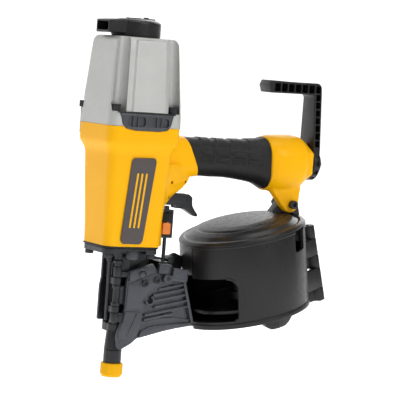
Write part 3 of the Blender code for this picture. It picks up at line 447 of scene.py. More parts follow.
LOOKS = {
    "yellow_paint": dict(base=(0.93, 0.455, 0.002), rough=0.36, tone=0.03, grain=900.0,
                         depth=0.035, worn_and_highlight=(0.95, 0.62, 0.12), coat=0.02, spec=0.12),
    "grey_cap": dict(base=(0.47, 0.475, 0.455), rough=0.46, metal=0.4, tone=0.07, grain=1500.0,
                     depth=0.09, pits=700.0, worn_and_highlight=(0.66, 0.67, 0.66), wear_and_highlight=0.6),
    "black_plastic": dict(base=(0.0120, 0.0120, 0.0128), rough=0.34, tone=0.2, grain=1900.0,
                          pits=900.0, worn_and_highlight=(0.07, 0.07, 0.072), wear_and_highlight=0.7, spec=0.32),
    # The black rubber's light edge colour is turned up into a painted highlight along its edges, most
    # of all round the grip's pads.
    "black_rubber": dict(base=(0.0085, 0.0080, 0.0080), rough=0.5, tone=0.2, grain=2200.0,
                         worn_and_highlight=(0.17, 0.17, 0.17), wear_and_highlight=0.85, edge=0.6, spec=0.32),
    "dark_steel": dict(base=(0.013, 0.014, 0.017), rough=0.36, metal=0.2, tone=0.2,
                       grain=1300.0, depth=0.06, pits=600.0, worn_and_highlight=(0.2, 0.21, 0.22), wear_and_highlight=0.6),
    # The door's steel is the same dark steel made lighter: a painted sheen standing in for the key
    # light off the door's near faces.
    "door_steel_painted_sheen": dict(base=(0.066, 0.070, 0.081), rough=0.34, metal=0.5, tone=0.2,
                       grain=1300.0, pits=600.0, worn_and_highlight=(0.30, 0.31, 0.33), wear_and_highlight=0.7),
    "bright_steel": dict(base=(0.50, 0.50, 0.51), rough=0.3, metal=1.0, tone=0.1, grain=600.0,
                         depth=0.02, worn_and_highlight=(0.75, 0.75, 0.76), brush=(1, 1, 6)),
    "aluminium": dict(base=(0.52, 0.53, 0.54), rough=0.36, metal=1.0, tone=0.08, grain=700.0,
                      depth=0.02, worn_and_highlight=(0.8, 0.8, 0.8), wear_and_highlight=0.4, brush=(1, 1, 8)),
    "badge_grey": dict(base=(0.062, 0.049, 0.048), rough=0.44, tone=0.08, grain=1600.0,
                       depth=0.025, worn_and_highlight=(0.16, 0.14, 0.13)),
    "muffler_grey": dict(base=(0.06, 0.062, 0.07), rough=0.36, metal=0.45, tone=0.15,
                         depth=0.04, worn_and_highlight=(0.3, 0.31, 0.33), wear_and_highlight=0.7),
    "orange_plastic": dict(base=(0.80, 0.23, 0.03), rough=0.42, tone=0.08, grain=1500.0,
                           depth=0.03, worn_and_highlight=(0.9, 0.45, 0.2)),
    "yellow_rubber": dict(base=(0.88, 0.45, 0.004), rough=0.5, spec=0.12, tone=0.06,
                          depth=0.04, worn_and_highlight=(0.95, 0.66, 0.2), wear_and_highlight=0.4),
    "amber_rubber": dict(base=(0.45, 0.19, 0.03), rough=0.5, grain=900.0,
                         worn_and_highlight=(0.6, 0.33, 0.1), wear_and_highlight=0.3),
}
FINISHES = {name: finish(name, **look) for name, look in LOOKS.items()}


# Placing

def shading_group(angle):
    """Node group that shades a carried-over CAD mesh smooth between its hard edges."""
    group = bpy.data.node_groups.new("smooth_between_edges", "GeometryNodeTree")
    for way in ("INPUT", "OUTPUT"):
        group.interface.new_socket("Geometry", in_out=way, socket_type="NodeSocketGeometry")
    start = node(group, "NodeGroupInput", {})
    bare = node(group, "GeometryNodeRemoveAttribute",
                {"Geometry": start.outputs[0], "Name": "custom_normal"})
    faces = node(group, "GeometryNodeSetShadeSmooth", {"Geometry": bare.outputs[0]}, domain="FACE")
    measure = node(group, "GeometryNodeInputMeshEdgeAngle", {})
    hard = node(group, "ShaderNodeMath", {0: measure.outputs["Unsigned Angle"],
                                          1: math.radians(angle)}, operation="GREATER_THAN")
    edges = node(group, "GeometryNodeSetShadeSmooth",
                 {"Geometry": faces.outputs[0], "Selection": hard.outputs[0],
                  "Shade Smooth": False}, domain="EDGE")
    node(group, "NodeGroupOutput", {0: edges.outputs[0]})
    return group


SMOOTH_ANGLE = 34.0
SMOOTH = shading_group(SMOOTH_ANGLE)


def settle(obj, name, finish_name, *nodes, body="tool_body", place=TOOL, angle=SMOOTH_ANGLE,
           look=None):
    """Places a piece, gives it its finish, and has it ride on a body in place of CAD nodes."""
    obj.name = name
    obj.data.name = name
    obj.data.transform(place)
    obj.data.materials.clear()
    obj.data.materials.append(FINISHES[look or finish_name])
    obj.data.shade_smooth()
    obj.data.set_sharp_from_angle(angle=math.radians(angle))
    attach(obj, body)
    if nodes:
        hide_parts(*nodes)
    return obj


def dress_node(name, finish_name, bevel):
    """A CAD node that stays: welded, its edges eased, shaded smooth, and given its finish."""
    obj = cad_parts[name]
    modify(obj, "WELD", merge_threshold=2e-6)
    if bevel:
        bevel_edges(obj, bevel * MM)
    modify(obj, "NODES", node_group=SMOOTH)
    obj.data.materials.clear()
    obj.data.materials.append(FINISHES[finish_name])


def copy_of(name):
    """A CAD node's mesh as a new object in tool millimetres, its split corners welded."""
    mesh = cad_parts[name].data.copy()
    mesh.transform(TOOL.inverted())
    tidy_mesh(mesh, 2e-3)
    return wrap(mesh)


# Main body. A handle section is (x, middle z, half width, half height, corner, lean).

ROOT = [(16, 224.5, 21, 30.5, 11, 0), (28, 225.4, 20.8, 29, 12, 0),
        (40, 226.8, 20.2, 26.2, 13, -0.05), (52, 228.6, 18.5, 22.8, 13, -0.2),
        (62, 229.4, 17.5, 21.2, 13, -0.36), (70.2, 230, 17, 20.4, 13, -0.45)]
CORE = [(69.2, 230, 13.4, 16.8, 11.5, -0.45), (92, 229.6, 13.2, 16.8, 11.5, -0.2),
        (115, 229.5, 13, 16.9, 11.5, 0), (145, 228.3, 14.6, 19.6, 12.5, -0.06),
        (154, 227.4, 16.6, 22.2, 14, -0.06), (160.6, 226.8, 18.4, 24.2, 15, -0.06)]
BARREL = [(159.6, 226.6, 22.6, 28, 20, -0.06), (165, 226.8, 25.4, 29.6, 23, -0.03),
          (174, 227.2, 27.4, 30.2, 25, 0), (186, 227.7, 27.8, 30.2, 26, 0),
          (194, 228.2, 27.4, 29.5, 26, 0), (200.5, 228.7, 26, 27.4, 24, 0),
          (204.2, 229, 23, 24.4, 21, 0)]
BAND = [(-31, 271.6), (29.5, 271.6), (28.5, 268), (27, 261), (24, 256.4), (14, 254.8),
        (-12, 254.8), (-23.5, 256.4), (-27, 261), (-28.8, 268)]
BAND_RADII = [0.5, 0.5, 2, 5, 5, 8, 8, 5, 5, 2]


def band_pocket(side, grow):
    """The recess for a muffler band in the housing and the cap, larger by grow."""
    middle_x, middle_z = -1, 263.5
    outline = [(middle_x + (x - middle_x) * (1 + grow / 31),
                middle_z + (z - middle_z) * (1 + grow / 8)) for x, z in BAND]
    return plate([rounded(outline, BAND_RADII)], "Y", *span(side, 37.35, 46))


def housing():
    body = upright(between([(130, 31.6, 29.5, 9), (BODY_BOTTOM, 31.6, 29.5, 9), (160, 32.3, 30.6, 9.2),
                            (200, 34.4, 33.2, 9.8), (222, 35.2, 34.4, 10), (231, 35.8, 35, 10),
                            (235.5, 37.6, 36.6, 10), (240.5, 40.2, 39.1, 10),
                            (243, 40.6, 39.5, 10), (262, 40.6, 39.5, 10)], 3))
    moved(body, (0.8, 0, 0))
    root = along_handle(ROOT, 4)
    core = along_handle(CORE, 6)
    barrel = along_handle(BARREL, 2.5)
    ears = plate([rounded([(26, 141.5), (41.4, 141.5), (40.2, 152), (38.4, 166), (39.8, 177),
                           (48, 187.5), (61.5, 197.5), (67.8, 205), (68.6, 214), (26, 222)],
                          [2, 3, 20, 20, 20, 24, 14, 7, 4, 2])], "Y", -12, 12, 1)
    # The flanks run from the barrel to the ears; reach is how far a section goes along X.
    flanks = []
    for z, hx, hy, reach in ((136.7, 32.6, 29.7, 41.4), (152, 32.8, 30.2, 40),
                             (166, 33.2, 30.9, 38.2), (177, 33.8, 31.6, 39.8),
                             (187.5, 34.4, 32.3, 48), (197.5, 34.9, 33, 61),
                             (206, 35.3, 33.5, 67.4), (216, 35.6, 34, 68.4),
                             (222, 35.8, 34.3, 68)):
        side = [(0, hy - 1.5), (hx - 8.5, hy - 0.6), (hx - 3, hy - 4), (reach, 12)]
        flanks.append([(x, -y, z) for x, y in side] + [(x, y, z) for x, y in reversed(side)])
    near_lug = rounded([(160.5, 206), (168.5, 196), (181.5, 180.6), (185.6, 176.9),
                        (192, 175.6), (198.6, 178.8), (200.4, 186), (202, 206)],
                       [3, 8, 6, 5, 6, 6, 8, 3])
    far_lug = rounded([(177, 208), (185, 196), (188, 184), (189, 179.6), (194, 178.6),
                       (198.6, 181), (200.4, 188), (202, 206)], [3, 6, 6, 3, 4, 5, 8, 3])
    lug = joined(plate([near_lug], "Y", -15, -4, 0.8), plate([far_lug], "Y", 4, 15, 0.8))
    body = cast(joined(body, root, core, barrel, ears, loft(flanks), lug), 1.15, 9)
    tools = [layer(100, BODY_BOTTOM), layer(258.3, 300),
             rod("Z", (0, 0, 139.6), BORE_R, 130, 48), rod("Z", (0, 0, 120), 8, 30),
             rod("X", (15, 0, HANDLE_Z), 9, 200),
             rod("X", (199.4, 0, HANDLE_Z), INLET_R, 20, 48),
             box((33.6, -6.5, 130), (84, 6.5, 199)), rod("Z", (60, 0, 190), 6.8, 26),
             rod("Y", (TRIGGER_PIN[0], 20, TRIGGER_PIN[1]), 2.8, 40, 24),
             box((160, -7, 160), (225, 7, 199.2)),
             rod("Y", (LUG_BOLT[0], 20, LUG_BOLT[1]), 3.4, 40, 24)]
    for sx, sy in signs():
        tools.append(rod("Z", (sx * 32.5, sy * 32.2, 244), 3.4, 20, 16))
        tools.append(rod("Z", (sx * 24, sy * 22, 130), 2.7, 22, 16))
    for side in (-1, 1):
        tools.append(band_pocket(side, 0.3))
        for x, z in ((41.2, 203.2), (62.8, 203.8), (37.7, 179.2), (31.5, 144)):
            tools.append(rod("Y", (x, 10.5 if side < 0 else 49, z), 1.7, 40, 16))
    for tool in tools:
        cut(body, tool)
    settle(body, "main_housing_shell", "yellow_paint", "main_housing")


def cylinder_cap():
    cap = upright(between([(252, 41.2, 38.9, 9.5), (CAP_BOTTOM, 41.2, 38.9, 9.5),
                           (272, 40.8, 38.6, 9.5), (300, 38.6, 36.9, 9.4), (339.5, 35.6, 34.2, 9),
                           (344.2, 34.8, 33.4, 8.8), (347, 32.8, 31.4, 8),
                           (348, 31.2, 29.8, 7)], 3))
    moved(cap, (1, 0, 0))
    panels, grooves = [], []
    for side in (-1, 1):
        panels.append(loft([[(first, side * out, z), (last, side * out, z), (last, side * 20, z),
                             (first, side * 20, z)]
                            for z, first, last, out in ((273.6, -17, 20.5, 40.2),
                                                        (345, -14.6, 19, 35.2))]))
    # A tapered groove runs up from each bolt, from z 273 to past the top.
    for bx, by in CAP_BOLTS:
        grooves.append(loft([[(bx * share + x, by + math.copysign(1, by) * out + y, z)
                              for x, y in circle(radius, 32)]
                             for z, share, out, radius in ((273, 0.93, 2.6, 7.6),
                                                           (352, 0.85, -0.4, 6.4))]))
    cap = cast(joined(cap, *panels), 1, 4)
    tools = [layer(240, CAP_BOTTOM), rod("Z", (0, 0, 250), 31, 83, 48),
             rod("Z", (0, 0, 320), 3.3, 40)] + grooves
    tools += [rod("Z", (x, y, 250), 3.2, 40, 16) for x, y in CAP_BOLTS]
    tools += [rod("Z", (x, y, 273), 5.6, 9, 24) for x, y in CAP_BOLTS]
    tools += [band_pocket(side, 0.3) for side in (-1, 1)]
    for tool in tools:
        cut(cap, tool)
    settle(cap, "cylinder_cap_shell", "grey_cap", "cylinder_cap")


def socket_bolt(head_r, head_h, shank_r, shank_l, teeth=22):
    """Cap screw standing on Z = 0 with a knurled head and a hexagon socket."""
    knurl = []
    for i in range(teeth):
        angle = 2 * math.pi * i / teeth
        knurl += [polar(head_r, angle), polar(head_r - 0.28, angle + math.pi / teeth)]
    head = plate([knurl], "Z", 0, head_h, 0.25)
    cut(head, plate([circle(head_r * 0.52, 6)], "Z", head_h - 2.6, head_h + 2))
    shank = turned([(0, 0.4), (shank_r, 0.4), (shank_r, -shank_l), (0, -shank_l)], 24, edge=0.2)
    return joined(head, shank)


def cap_bolts():
    for number, (x, y) in enumerate(CAP_BOLTS, 1):
        bolt = moved(socket_bolt(4.8, 6.6, 2.8, 26), (x, y, 273.3))
        settle(bolt, f"cap_bolt_{number}_head", "dark_steel", f"cap_bolt_{number}")


def muffler_bands():
    for side, label in ((-1, "left"), (1, "right")):
        band = plate([rounded(BAND, BAND_RADII)], "Y", *span(side, 37.6, 40.6), 0.6)
        slots, ribs = [], []
        rib_low, rib_high = span(side, 38, 39.6)
        for first, last in ((-23.5, -2), (4, 24.4)):
            outline = rounded([(first, 258.6), (last, 258.6), (last, 268.6), (first, 268.6)], 3.6, 6)
            slots.append(plate([outline], "Y", *span(side, 38.2, 45)))
            for share in (0.36, 0.62):
                x = first + (last - first) * share
                ribs.append(box((x - 0.6, rib_low, 258.2), (x + 0.6, rib_high, 269), 0.25))
        cut(band, *slots)
        settle(joined(band, *ribs), f"muffler_band_{label}_vented", "muffler_grey",
               f"muffler_band_{label}")
        # A thin black strip along the top edge of each band, where a dark line runs under the cap.
        seam_low, seam_high = span(side, 38.6, 40.3)
        seam = box((-33.5, seam_low, 271.7), (31.5, seam_high, 273.2), 0.3)
        settle(seam, f"muffler_dark_strip_{label}", "black_rubber")


def badges():
    """Plain plates on the tapered flanks, with three pinstripes in place of any mark."""
    outline = rounded([(-9.5, 227.2), (14.4, 227.6), (16, 224), (8.9, 143), (6.5, 139.5),
                       (-13.8, 139.5), (-16.2, 143), (-11.8, 224)], [5, 5, 4, 6, 5, 5, 6, 4], 5)
    middle = 183.0
    reach = 29.5 + BADGE_SLOPE * (middle - BODY_BOTTOM) + 1.05
    for side, label in ((-1, "left"), (1, "right")):
        badge = plate([[(x, z - middle) for x, z in outline]], "Y", -0.6, 0.6, 0.35)
        place, lean_back = (0, side * reach, middle), -side * math.atan(BADGE_SLOPE)
        settle(moved(badge, place, lean_back), f"badge_{label}_plate", "badge_grey",
               f"badge_{label}")
        stripes = []
        for shift in (-4.9, 0, 4.9):
            line = [(shift + 0.1, 29), (shift + 2.1, 29), (shift - 1.6, -27), (shift - 3.6, -27)]
            stripes.append(plate([rounded(line, 0.9, 4)], "Y", *span(side, 0.45, 0.8), 0.1))
        settle(moved(joined(*stripes), place, lean_back), f"badge_{label}_pinstripes",
               "yellow_rubber")


def end_plate():
    outline = rounded(circle(22.5, 6, (0, HANDLE_Z), math.radians(30)), 2.4, 4)
    end = plate([outline], "X", 204.4, 212.2, 1.4)
    cut(end, rod("X", (200, 0, HANDLE_Z), INLET_R, 30, 48))
    settle(end, "end_plate_hex", "yellow_paint", "end_plate")


def air_inlet():
    profile = [(6.5, 227.4), (9.4, 227.4), (10.2, 226.6), (12, 226.2), (12, 201), (6.5, 201)]
    inlet = turned(profile, 48, "X", (0, 0, HANDLE_Z))
    nut = plate([rounded(circle(13.2, 6, (0, HANDLE_Z)), 1, 3)], "X", 223.6, 226.4, 0.5)
    cut(nut, rod("X", (200, 0, HANDLE_Z), 11.8, 60, 48))
    spacer = tube("X", (0, 0, HANDLE_Z), 12.2, 17.5, 212.3, 213.7, 48, 0.4)
    settle(spacer, "hook_spacer", "black_rubber")
    settle(joined(inlet, nut), "air_inlet_fitting", "bright_steel", "air_inlet", look="dark_steel")


# Grip

PAD_COLUMNS = ((77, 92.5), (96, 111.5), (115, 130.5), (134, 150))
PAD_ROWS = ((2.7, 8.2), (-3.8, 0.8))
GRIP_ENDS = (70.4, 159.4)
GRIP_WALL = 3.6
GRIP_GAP = 0.3


def pad_height(x, z):
    """Height of the moulded pads on the grip's skin, z being above the handle's middle."""
    height = 0.0
    for first, last in PAD_COLUMNS:
        if z <= 11.0:
            for low, high in PAD_ROWS:
                inside = min(x - first, last - x, z - low, high - z)
                if inside > -0.4:
                    edge = min(1, max(0, (inside + 0.4) / 0.7))
                    rim = 1.0 if inside < 1.3 else max(0.2, 1.0 - (inside - 1.3) / 0.7)
                    height = max(height, edge * rim)
        else:
            slant = 0.28 * (z - 13)
            inside = min(x - first - slant, last - slant - x, z - 11.8)
            if inside > -0.3:
                height = max(height, min(1, (inside + 0.3) / 0.6))
    return height


def dense_loop(half_a, half_b, corner, per_corner=36, straight=22):
    """A rounded rectangle whose straight sides are divided as finely as its corners."""
    loop = ring_loop(half_a, half_b, corner, per_corner)
    out = []
    for i, (a, b) in enumerate(loop):
        out.append((a, b))
        if i % (per_corner + 1) == per_corner:
            a2, b2 = loop[(i + 1) % len(loop)]
            out += [(a + (a2 - a) * k / straight, b + (b2 - b) * k / straight)
                    for k in range(1, straight)]
    return out


def grip():
    """The rubber sleeve: an outer skin pushed out along its normals by the pads, and an inner one."""
    first, last = GRIP_ENDS
    outer, inner = [], []
    for x, zc, hy, hz, corner, lean in between([(first, *CORE[0][1:])] + CORE[1:5]
                                               + [(last, *CORE[5][1:])], 0.55):
        wide, tall, c = hy + GRIP_WALL, hz + GRIP_WALL, corner + GRIP_WALL
        ends = min(x - first, last - x)
        row = []
        for a, b in dense_loop(wide, tall, c):
            na = a - max(c - wide, min(wide - c, a))
            nb = b - max(c - tall, min(tall - c, b))
            size = math.hypot(na, nb) or 1.0
            along = x + lean * b
            lift = pad_height(along, b) - 0.5
            if b < 0 and b < 2 - hz:
                lift = -0.5
            lift = lift * min(1, ends / 2) - 0.8 * max(0, 1.0 - ends / 1.2) ** 2
            row.append((along, a + na / size * lift, zc + b + nb / size * lift))
        outer.append(row)
        inner.append([(p, q * (hy + GRIP_GAP) / wide, zc + (r - zc) * (hz + GRIP_GAP) / tall)
                      for p, q, r in row])
    loops = outer + inner[::-8] + [inner[0]]
    count = len(outer[0])
    faces = []
    for row in range(len(loops)):
        base, above = row * count, ((row + 1) % len(loops)) * count
        faces += [(base + i, base + (i + 1) % count, above + (i + 1) % count, above + i)
                  for i in range(count)]
    sleeve = solid([p for loop in loops for p in loop], faces)
    # The rubber's light edge colour paints highlights along the pads' edges.
    settle(sleeve, "grip_sleeve_moulded", "black_rubber", "grip_sleeve", angle=50)


# Hook and deflector

def hook_cell(points, radii, steps=3):
    """A pocket cut from both faces of the hook's strap, with a web left between."""
    outline = rounded(points, radii, steps)
    return [plate([outline], "Y", 1.5, 30), plate([outline], "Y", -30, -1.5)]


def rafter_hook():
    outline = [(215, 229), (223.3, 229), (223.3, 248), (222.6, 303), (221.5, 314.6),
               (196, 314), (159.5, 314.6), (157, 309), (159.6, 301.5), (213, 302.2),
               (215, 250)]
    strap = plate([rounded(outline, [0, 0, 12, 12, 6.5, 12, 1.5, 1.5, 1.2, 4.5, 12], 7)], "Y", -14,
                  14, 0.7)
    cells = []
    for k in range(7):
        z = 246.6 + 8.15 * k
        x = 215.2 - 0.163 * k
        cells += hook_cell([(x + 1.5, z), (x + 6.8, z), (x + 6.7, z + 7), (x + 1.4, z + 7)], 0.9)
    cells += hook_cell([(214.8, 304), (220.9, 303.6), (220.4, 311.8), (214.8, 311.6)],
                       [0.9, 0.9, 4.5, 0.9], 4)
    for k in range(6):
        x = 163.8 + 8.45 * k
        cells += hook_cell([(x, 303.2), (x + 7.2, 303.4), (x + 7.2, 312.2), (x, 312)], 1)
    cut(strap, joined(*cells))
    for vertex in strap.data.vertices:
        z = min(300, max(236, vertex.co.z))
        vertex.co.y *= (15.4 - 4.4 * (z - 236) / 64) / 14.0
    ring = plate([circle(18.2, 64, (0, HANDLE_Z))], "X", 215, 223.3, 1)
    for k in range(5):
        pocket = box((217, -2.6, 15.4), (221.6, 2.6, 22), 0.4)
        cut(ring, moved(pocket, (0, 0, HANDLE_Z), math.radians(60 + 30 * k)))
    combine(strap, [ring], "UNION")
    cut(strap, rod("X", (200, 0, HANDLE_Z), 12.4, 40, 48))
    settle(moved(strap, (-1.2, 0, 0)), "rafter_hook_ribbed", "black_plastic", "rafter_hook",
           body="hook")


def deflector():
    puck = turned([(0, 366.3), (17, 366.3), (22.6, 364.7), (25, 362.8), (25.1, 348), (0, 348)],
                  96, edge=1.2)
    nozzle = loft([[(x, -half, low), (x, half, low), (x, half, high), (x, -half, high)]
                   for x, half, low, high in ((-6, 16.5, 350.6, 365.8), (-24, 16, 351.4, 365.2),
                                              (-38, 15, 350.6, 363.8))])
    body = cast(joined(puck, nozzle), 0.75, 4)
    chamber = turned([(21, 362.2), (21, 351.5), (7.5, 351.5), (7.5, 362.2)], 48)
    for tool in (chamber, box((-44, -12.8, 353), (-8.5, 12.8, 362), 1.2),
                 rod("Z", (0, 0, 340), 3.4, 40), rod("Z", (0, 0, 363), 6.4, 10, 40),
                 layer(330, 348)):
        cut(body, tool)
    tabs = []
    for angle in (200, 250, 300, 350, 40):
        tab = plate([rounded([(9.5, -2.2), (14.5, -2.2), (14.5, 2.2), (9.5, 2.2)], 0.8, 3)], "Z",
                    365.9, 367.2, 0.3)
        tab.data.transform(Matrix.Rotation(math.radians(angle), 4, "Z"))
        tabs.append(tab)
    for x0, x1, top in ((6.5, 10.5, 368.4), (12, 18, 367.4)):
        tabs.append(box((x0, -6, 365.4), (x1, -1, top), 0.5))
    settle(joined(body, *tabs), "exhaust_deflector_cover", "black_plastic", "exhaust_deflector",
           body="deflector")
    head = plate([circle(5.8, 40)], "Z", 363.2, 367.3, 0.4)
    cut(head, plate([circle(2.5, 6)], "Z", 365.2, 370))
    shank = rod("Z", (0, 0, 326), 3, 37.6)
    settle(joined(head, shank), "deflector_screw_head", "dark_steel", "deflector_screw")


# Trigger group

def trigger():
    outline = arc(5.6, 60, 300, 16, TRIGGER_PIN) + [
        (46, 178.4), (50.6, 176.4), (60, 175.5), (68, 175.3), (74.6, 171.7), (81, 168.2),
        (83.6, 167.3), (84.9, 169.3), (80.2, 175), (78, 178.4), (77.4, 182), (77.2, 187.4),
        (73, 190.6), (64, 190.8), (56.8, 191), (47, 193.4)]
    radii = [0] * 17 + [3, 6, 10, 10, 8, 8, 1.2, 1.2, 4, 4, 3, 2.5, 3, 3, 3, 3]
    blade = plate([rounded(outline, radii, 5)], "Y", -5.9, 5.9, 1.5)
    for tool in (rod("Y", (TRIGGER_PIN[0], 10, TRIGGER_PIN[1]), 2.8, 20, 24),
                 rod("Y", (69.3, 10, 184.9), 1.8, 20, 20),
                 box((47, -3.6, 184.4), (74.4, 3.6, 200)),
                 box((65.9, -3.6, 181.6), (74, 3.6, 200)),
                 box((43.8, -3.6, 168), (58.6, 3.6, 181.6)),
                 box((43.2, -7, 165), (58, 7, 178.8))):
        cut(blade, tool)
    settle(blade, "trigger_blade", "dark_steel", "trigger", body="trigger_set")


def linkage():
    """The depth wheel with its coarse teeth, the link's block and the bent link itself."""
    teeth = 20
    outline = []
    for i in range(teeth):
        angle, step = 2 * math.pi * i / teeth, math.pi / teeth
        outline += [polar(6.4, angle - step * 0.4), polar(6.4, angle + step * 0.4),
                    polar(5.9, angle + step)]
    wheel = plate([outline, circle(2.4, 24)], "Z", 160.6, 171, 0.8)
    settle(moved(wheel, (TRIP_X, 0, 0)), "depth_wheel_knurled", "black_plastic", "depth_wheel",
           body="wheel")
    block = plate([rounded([(44.2, 148.1), (53.6, 148.1), (53.6, 160.2), (44.2, 160.2)], 1.8, 4)],
                  "Y", -6.4, 6.4, 0.9)
    cut(block, rod("Z", (TRIP_X, 0, 140), 2.4, 30))
    link = plate([rounded([(44.5, 171.4), (55, 171.4), (55, 147.8), (44.5, 147.8), (44.5, 144.2),
                           (57.4, 144.2), (57.4, 173.6), (52, 173.6), (52, 177.4),
                           (48.6, 177.4), (48.6, 173.6), (44.5, 173.6)], 0.5, 2)], "Y", -3.2, 3.2,
                 0.35)
    cut(link, rod("Z", (TRIP_X, 0, 140), 2.4, 10))
    settle(link, "trip_link_bent", "dark_steel", "trip_link", body="trip")
    settle(block, "trip_bushing_block", "orange_plastic", "trip_bushing", body="trip")


def nose_tip():
    pad = turned([(6.5, 14), (10.9, 14), (11.5, 13.2), (11.5, 3), (9.6, 0), (4.2, 0),
                  (4.2, 3.2), (6.5, 3.2)], 64, edge=0.9)
    settle(pad, "no_mar_pad_cup", "yellow_rubber", "no_mar_pad", body="arm")


# Nose and door

def nose_fixings():
    for number, (sx, sy) in enumerate(signs(), 1):
        bolt = moved(socket_bolt(4.4, 4.8, 2.4, 17, 20), (sx * 24, sy * 22, FLANGE_Z), math.pi)
        settle(bolt, f"nose_bolt_{number}_head", "dark_steel", f"nose_bolt_{number}")


def nose():
    casting = cast(copy_of("nose_casting"), 0.6, 3)
    # The flange is cut back from below, but not round the channel or the spring's pocket.
    under = cut(layer(115, FLANGE_Z), box((-11, -9, 110), (32, 14, 135)),
                rod("Z", (0, 22, 110), 5.4, 30))
    cut(casting, under, box((-15, -60, 115), (15, -19, 132.4)),
        rod("Z", (0, 0, 30), 3.3, 120, 32), layer(134.6, 150))
    settle(casting, "nose_casting_body", "dark_steel", "nose_casting", angle=60)
    boss = turned([(0, 122.5), (6.4, 122.5), (7.6, 124), (7.6, 133), (0, 133)], 40, "Z",
                  (5.5, -17, 0), 0.5)
    settle(boss, "nose_boss_turned", "muffler_grey")
    hinge = (*DOOR_HINGE, 0)
    lower = turned([(2.6, 74.3), (4.6, 74.3), (4.6, 77), (3.5, 78.4), (3.5, 91.8), (4.6, 93),
                   (4.6, 95.7), (2.6, 95.7)], 32, "Z", hinge, 0.3)
    upper = turned([(0, 115), (3.4, 115), (3.4, 117), (5.2, 118.2), (5.2, 120.6), (3.8, 121.8),
                    (3.8, 125), (5, 126.2), (5, 129.5), (0, 129.5)], 32, "Z", hinge, 0.3)
    slim = turned([(0, 58), (1.9, 58), (1.9, 118), (3.6, 119.2), (3.6, 129.5), (0, 129.5)], 24,
                  "Z", (-11.4, -2, 0), 0.3)
    settle(joined(lower, upper, slim), "nose_hinge_tubes", "dark_steel")
    guard = plate([rounded([(-13.6, 57), (-6, 57), (-5, 90), (-5, 129.5), (-12.2, 129.5),
                            (-12.2, 100), (-13.6, 92)], 1.2, 3)], "Y", 12.4, 16, 0.5)
    backing = plate([rounded([(10, 100), (66, 99), (82, 108), (86, 122), (74, 127), (62, 121),
                              (44, 124), (32, 129.5), (10, 129.5)], 2, 4)], "Y", 18.6, 23, 0.7)
    ribs = [plate([rounded([(14 + 14 * k, 101), (17 + 14 * k, 101), (20 + 14 * k, 120),
                            (17 + 14 * k, 120)], 0.8, 3)], "Y", 17.6, 20, 0.3) for k in range(4)]
    knob = rod("Y", (66, 22, 120), 4.2, 12, 32, 0.8)
    settle(joined(guard, backing, knob, *ribs), "nose_feed_housing", "dark_steel")


def contact_arm():
    arm = cast(copy_of("contact_arm"), 0.55, 3)
    skirt = turned([(6.7, 51), (7.7, 51), (9.2, 29), (9.4, 28), (6.7, 28)], 40, edge=0.3)
    settle(joined(arm, skirt), "contact_arm_tube", "dark_steel", "contact_arm", body="arm",
           angle=60)


def door_relief(points, radii, out, back=0.8, edge=0.5, steps=3):
    """A raised field on the door's face, out from it by a few millimetres."""
    return plate([rounded(points, radii, steps)], "Y", DOOR_FACE - out, DOOR_FACE + back, edge)


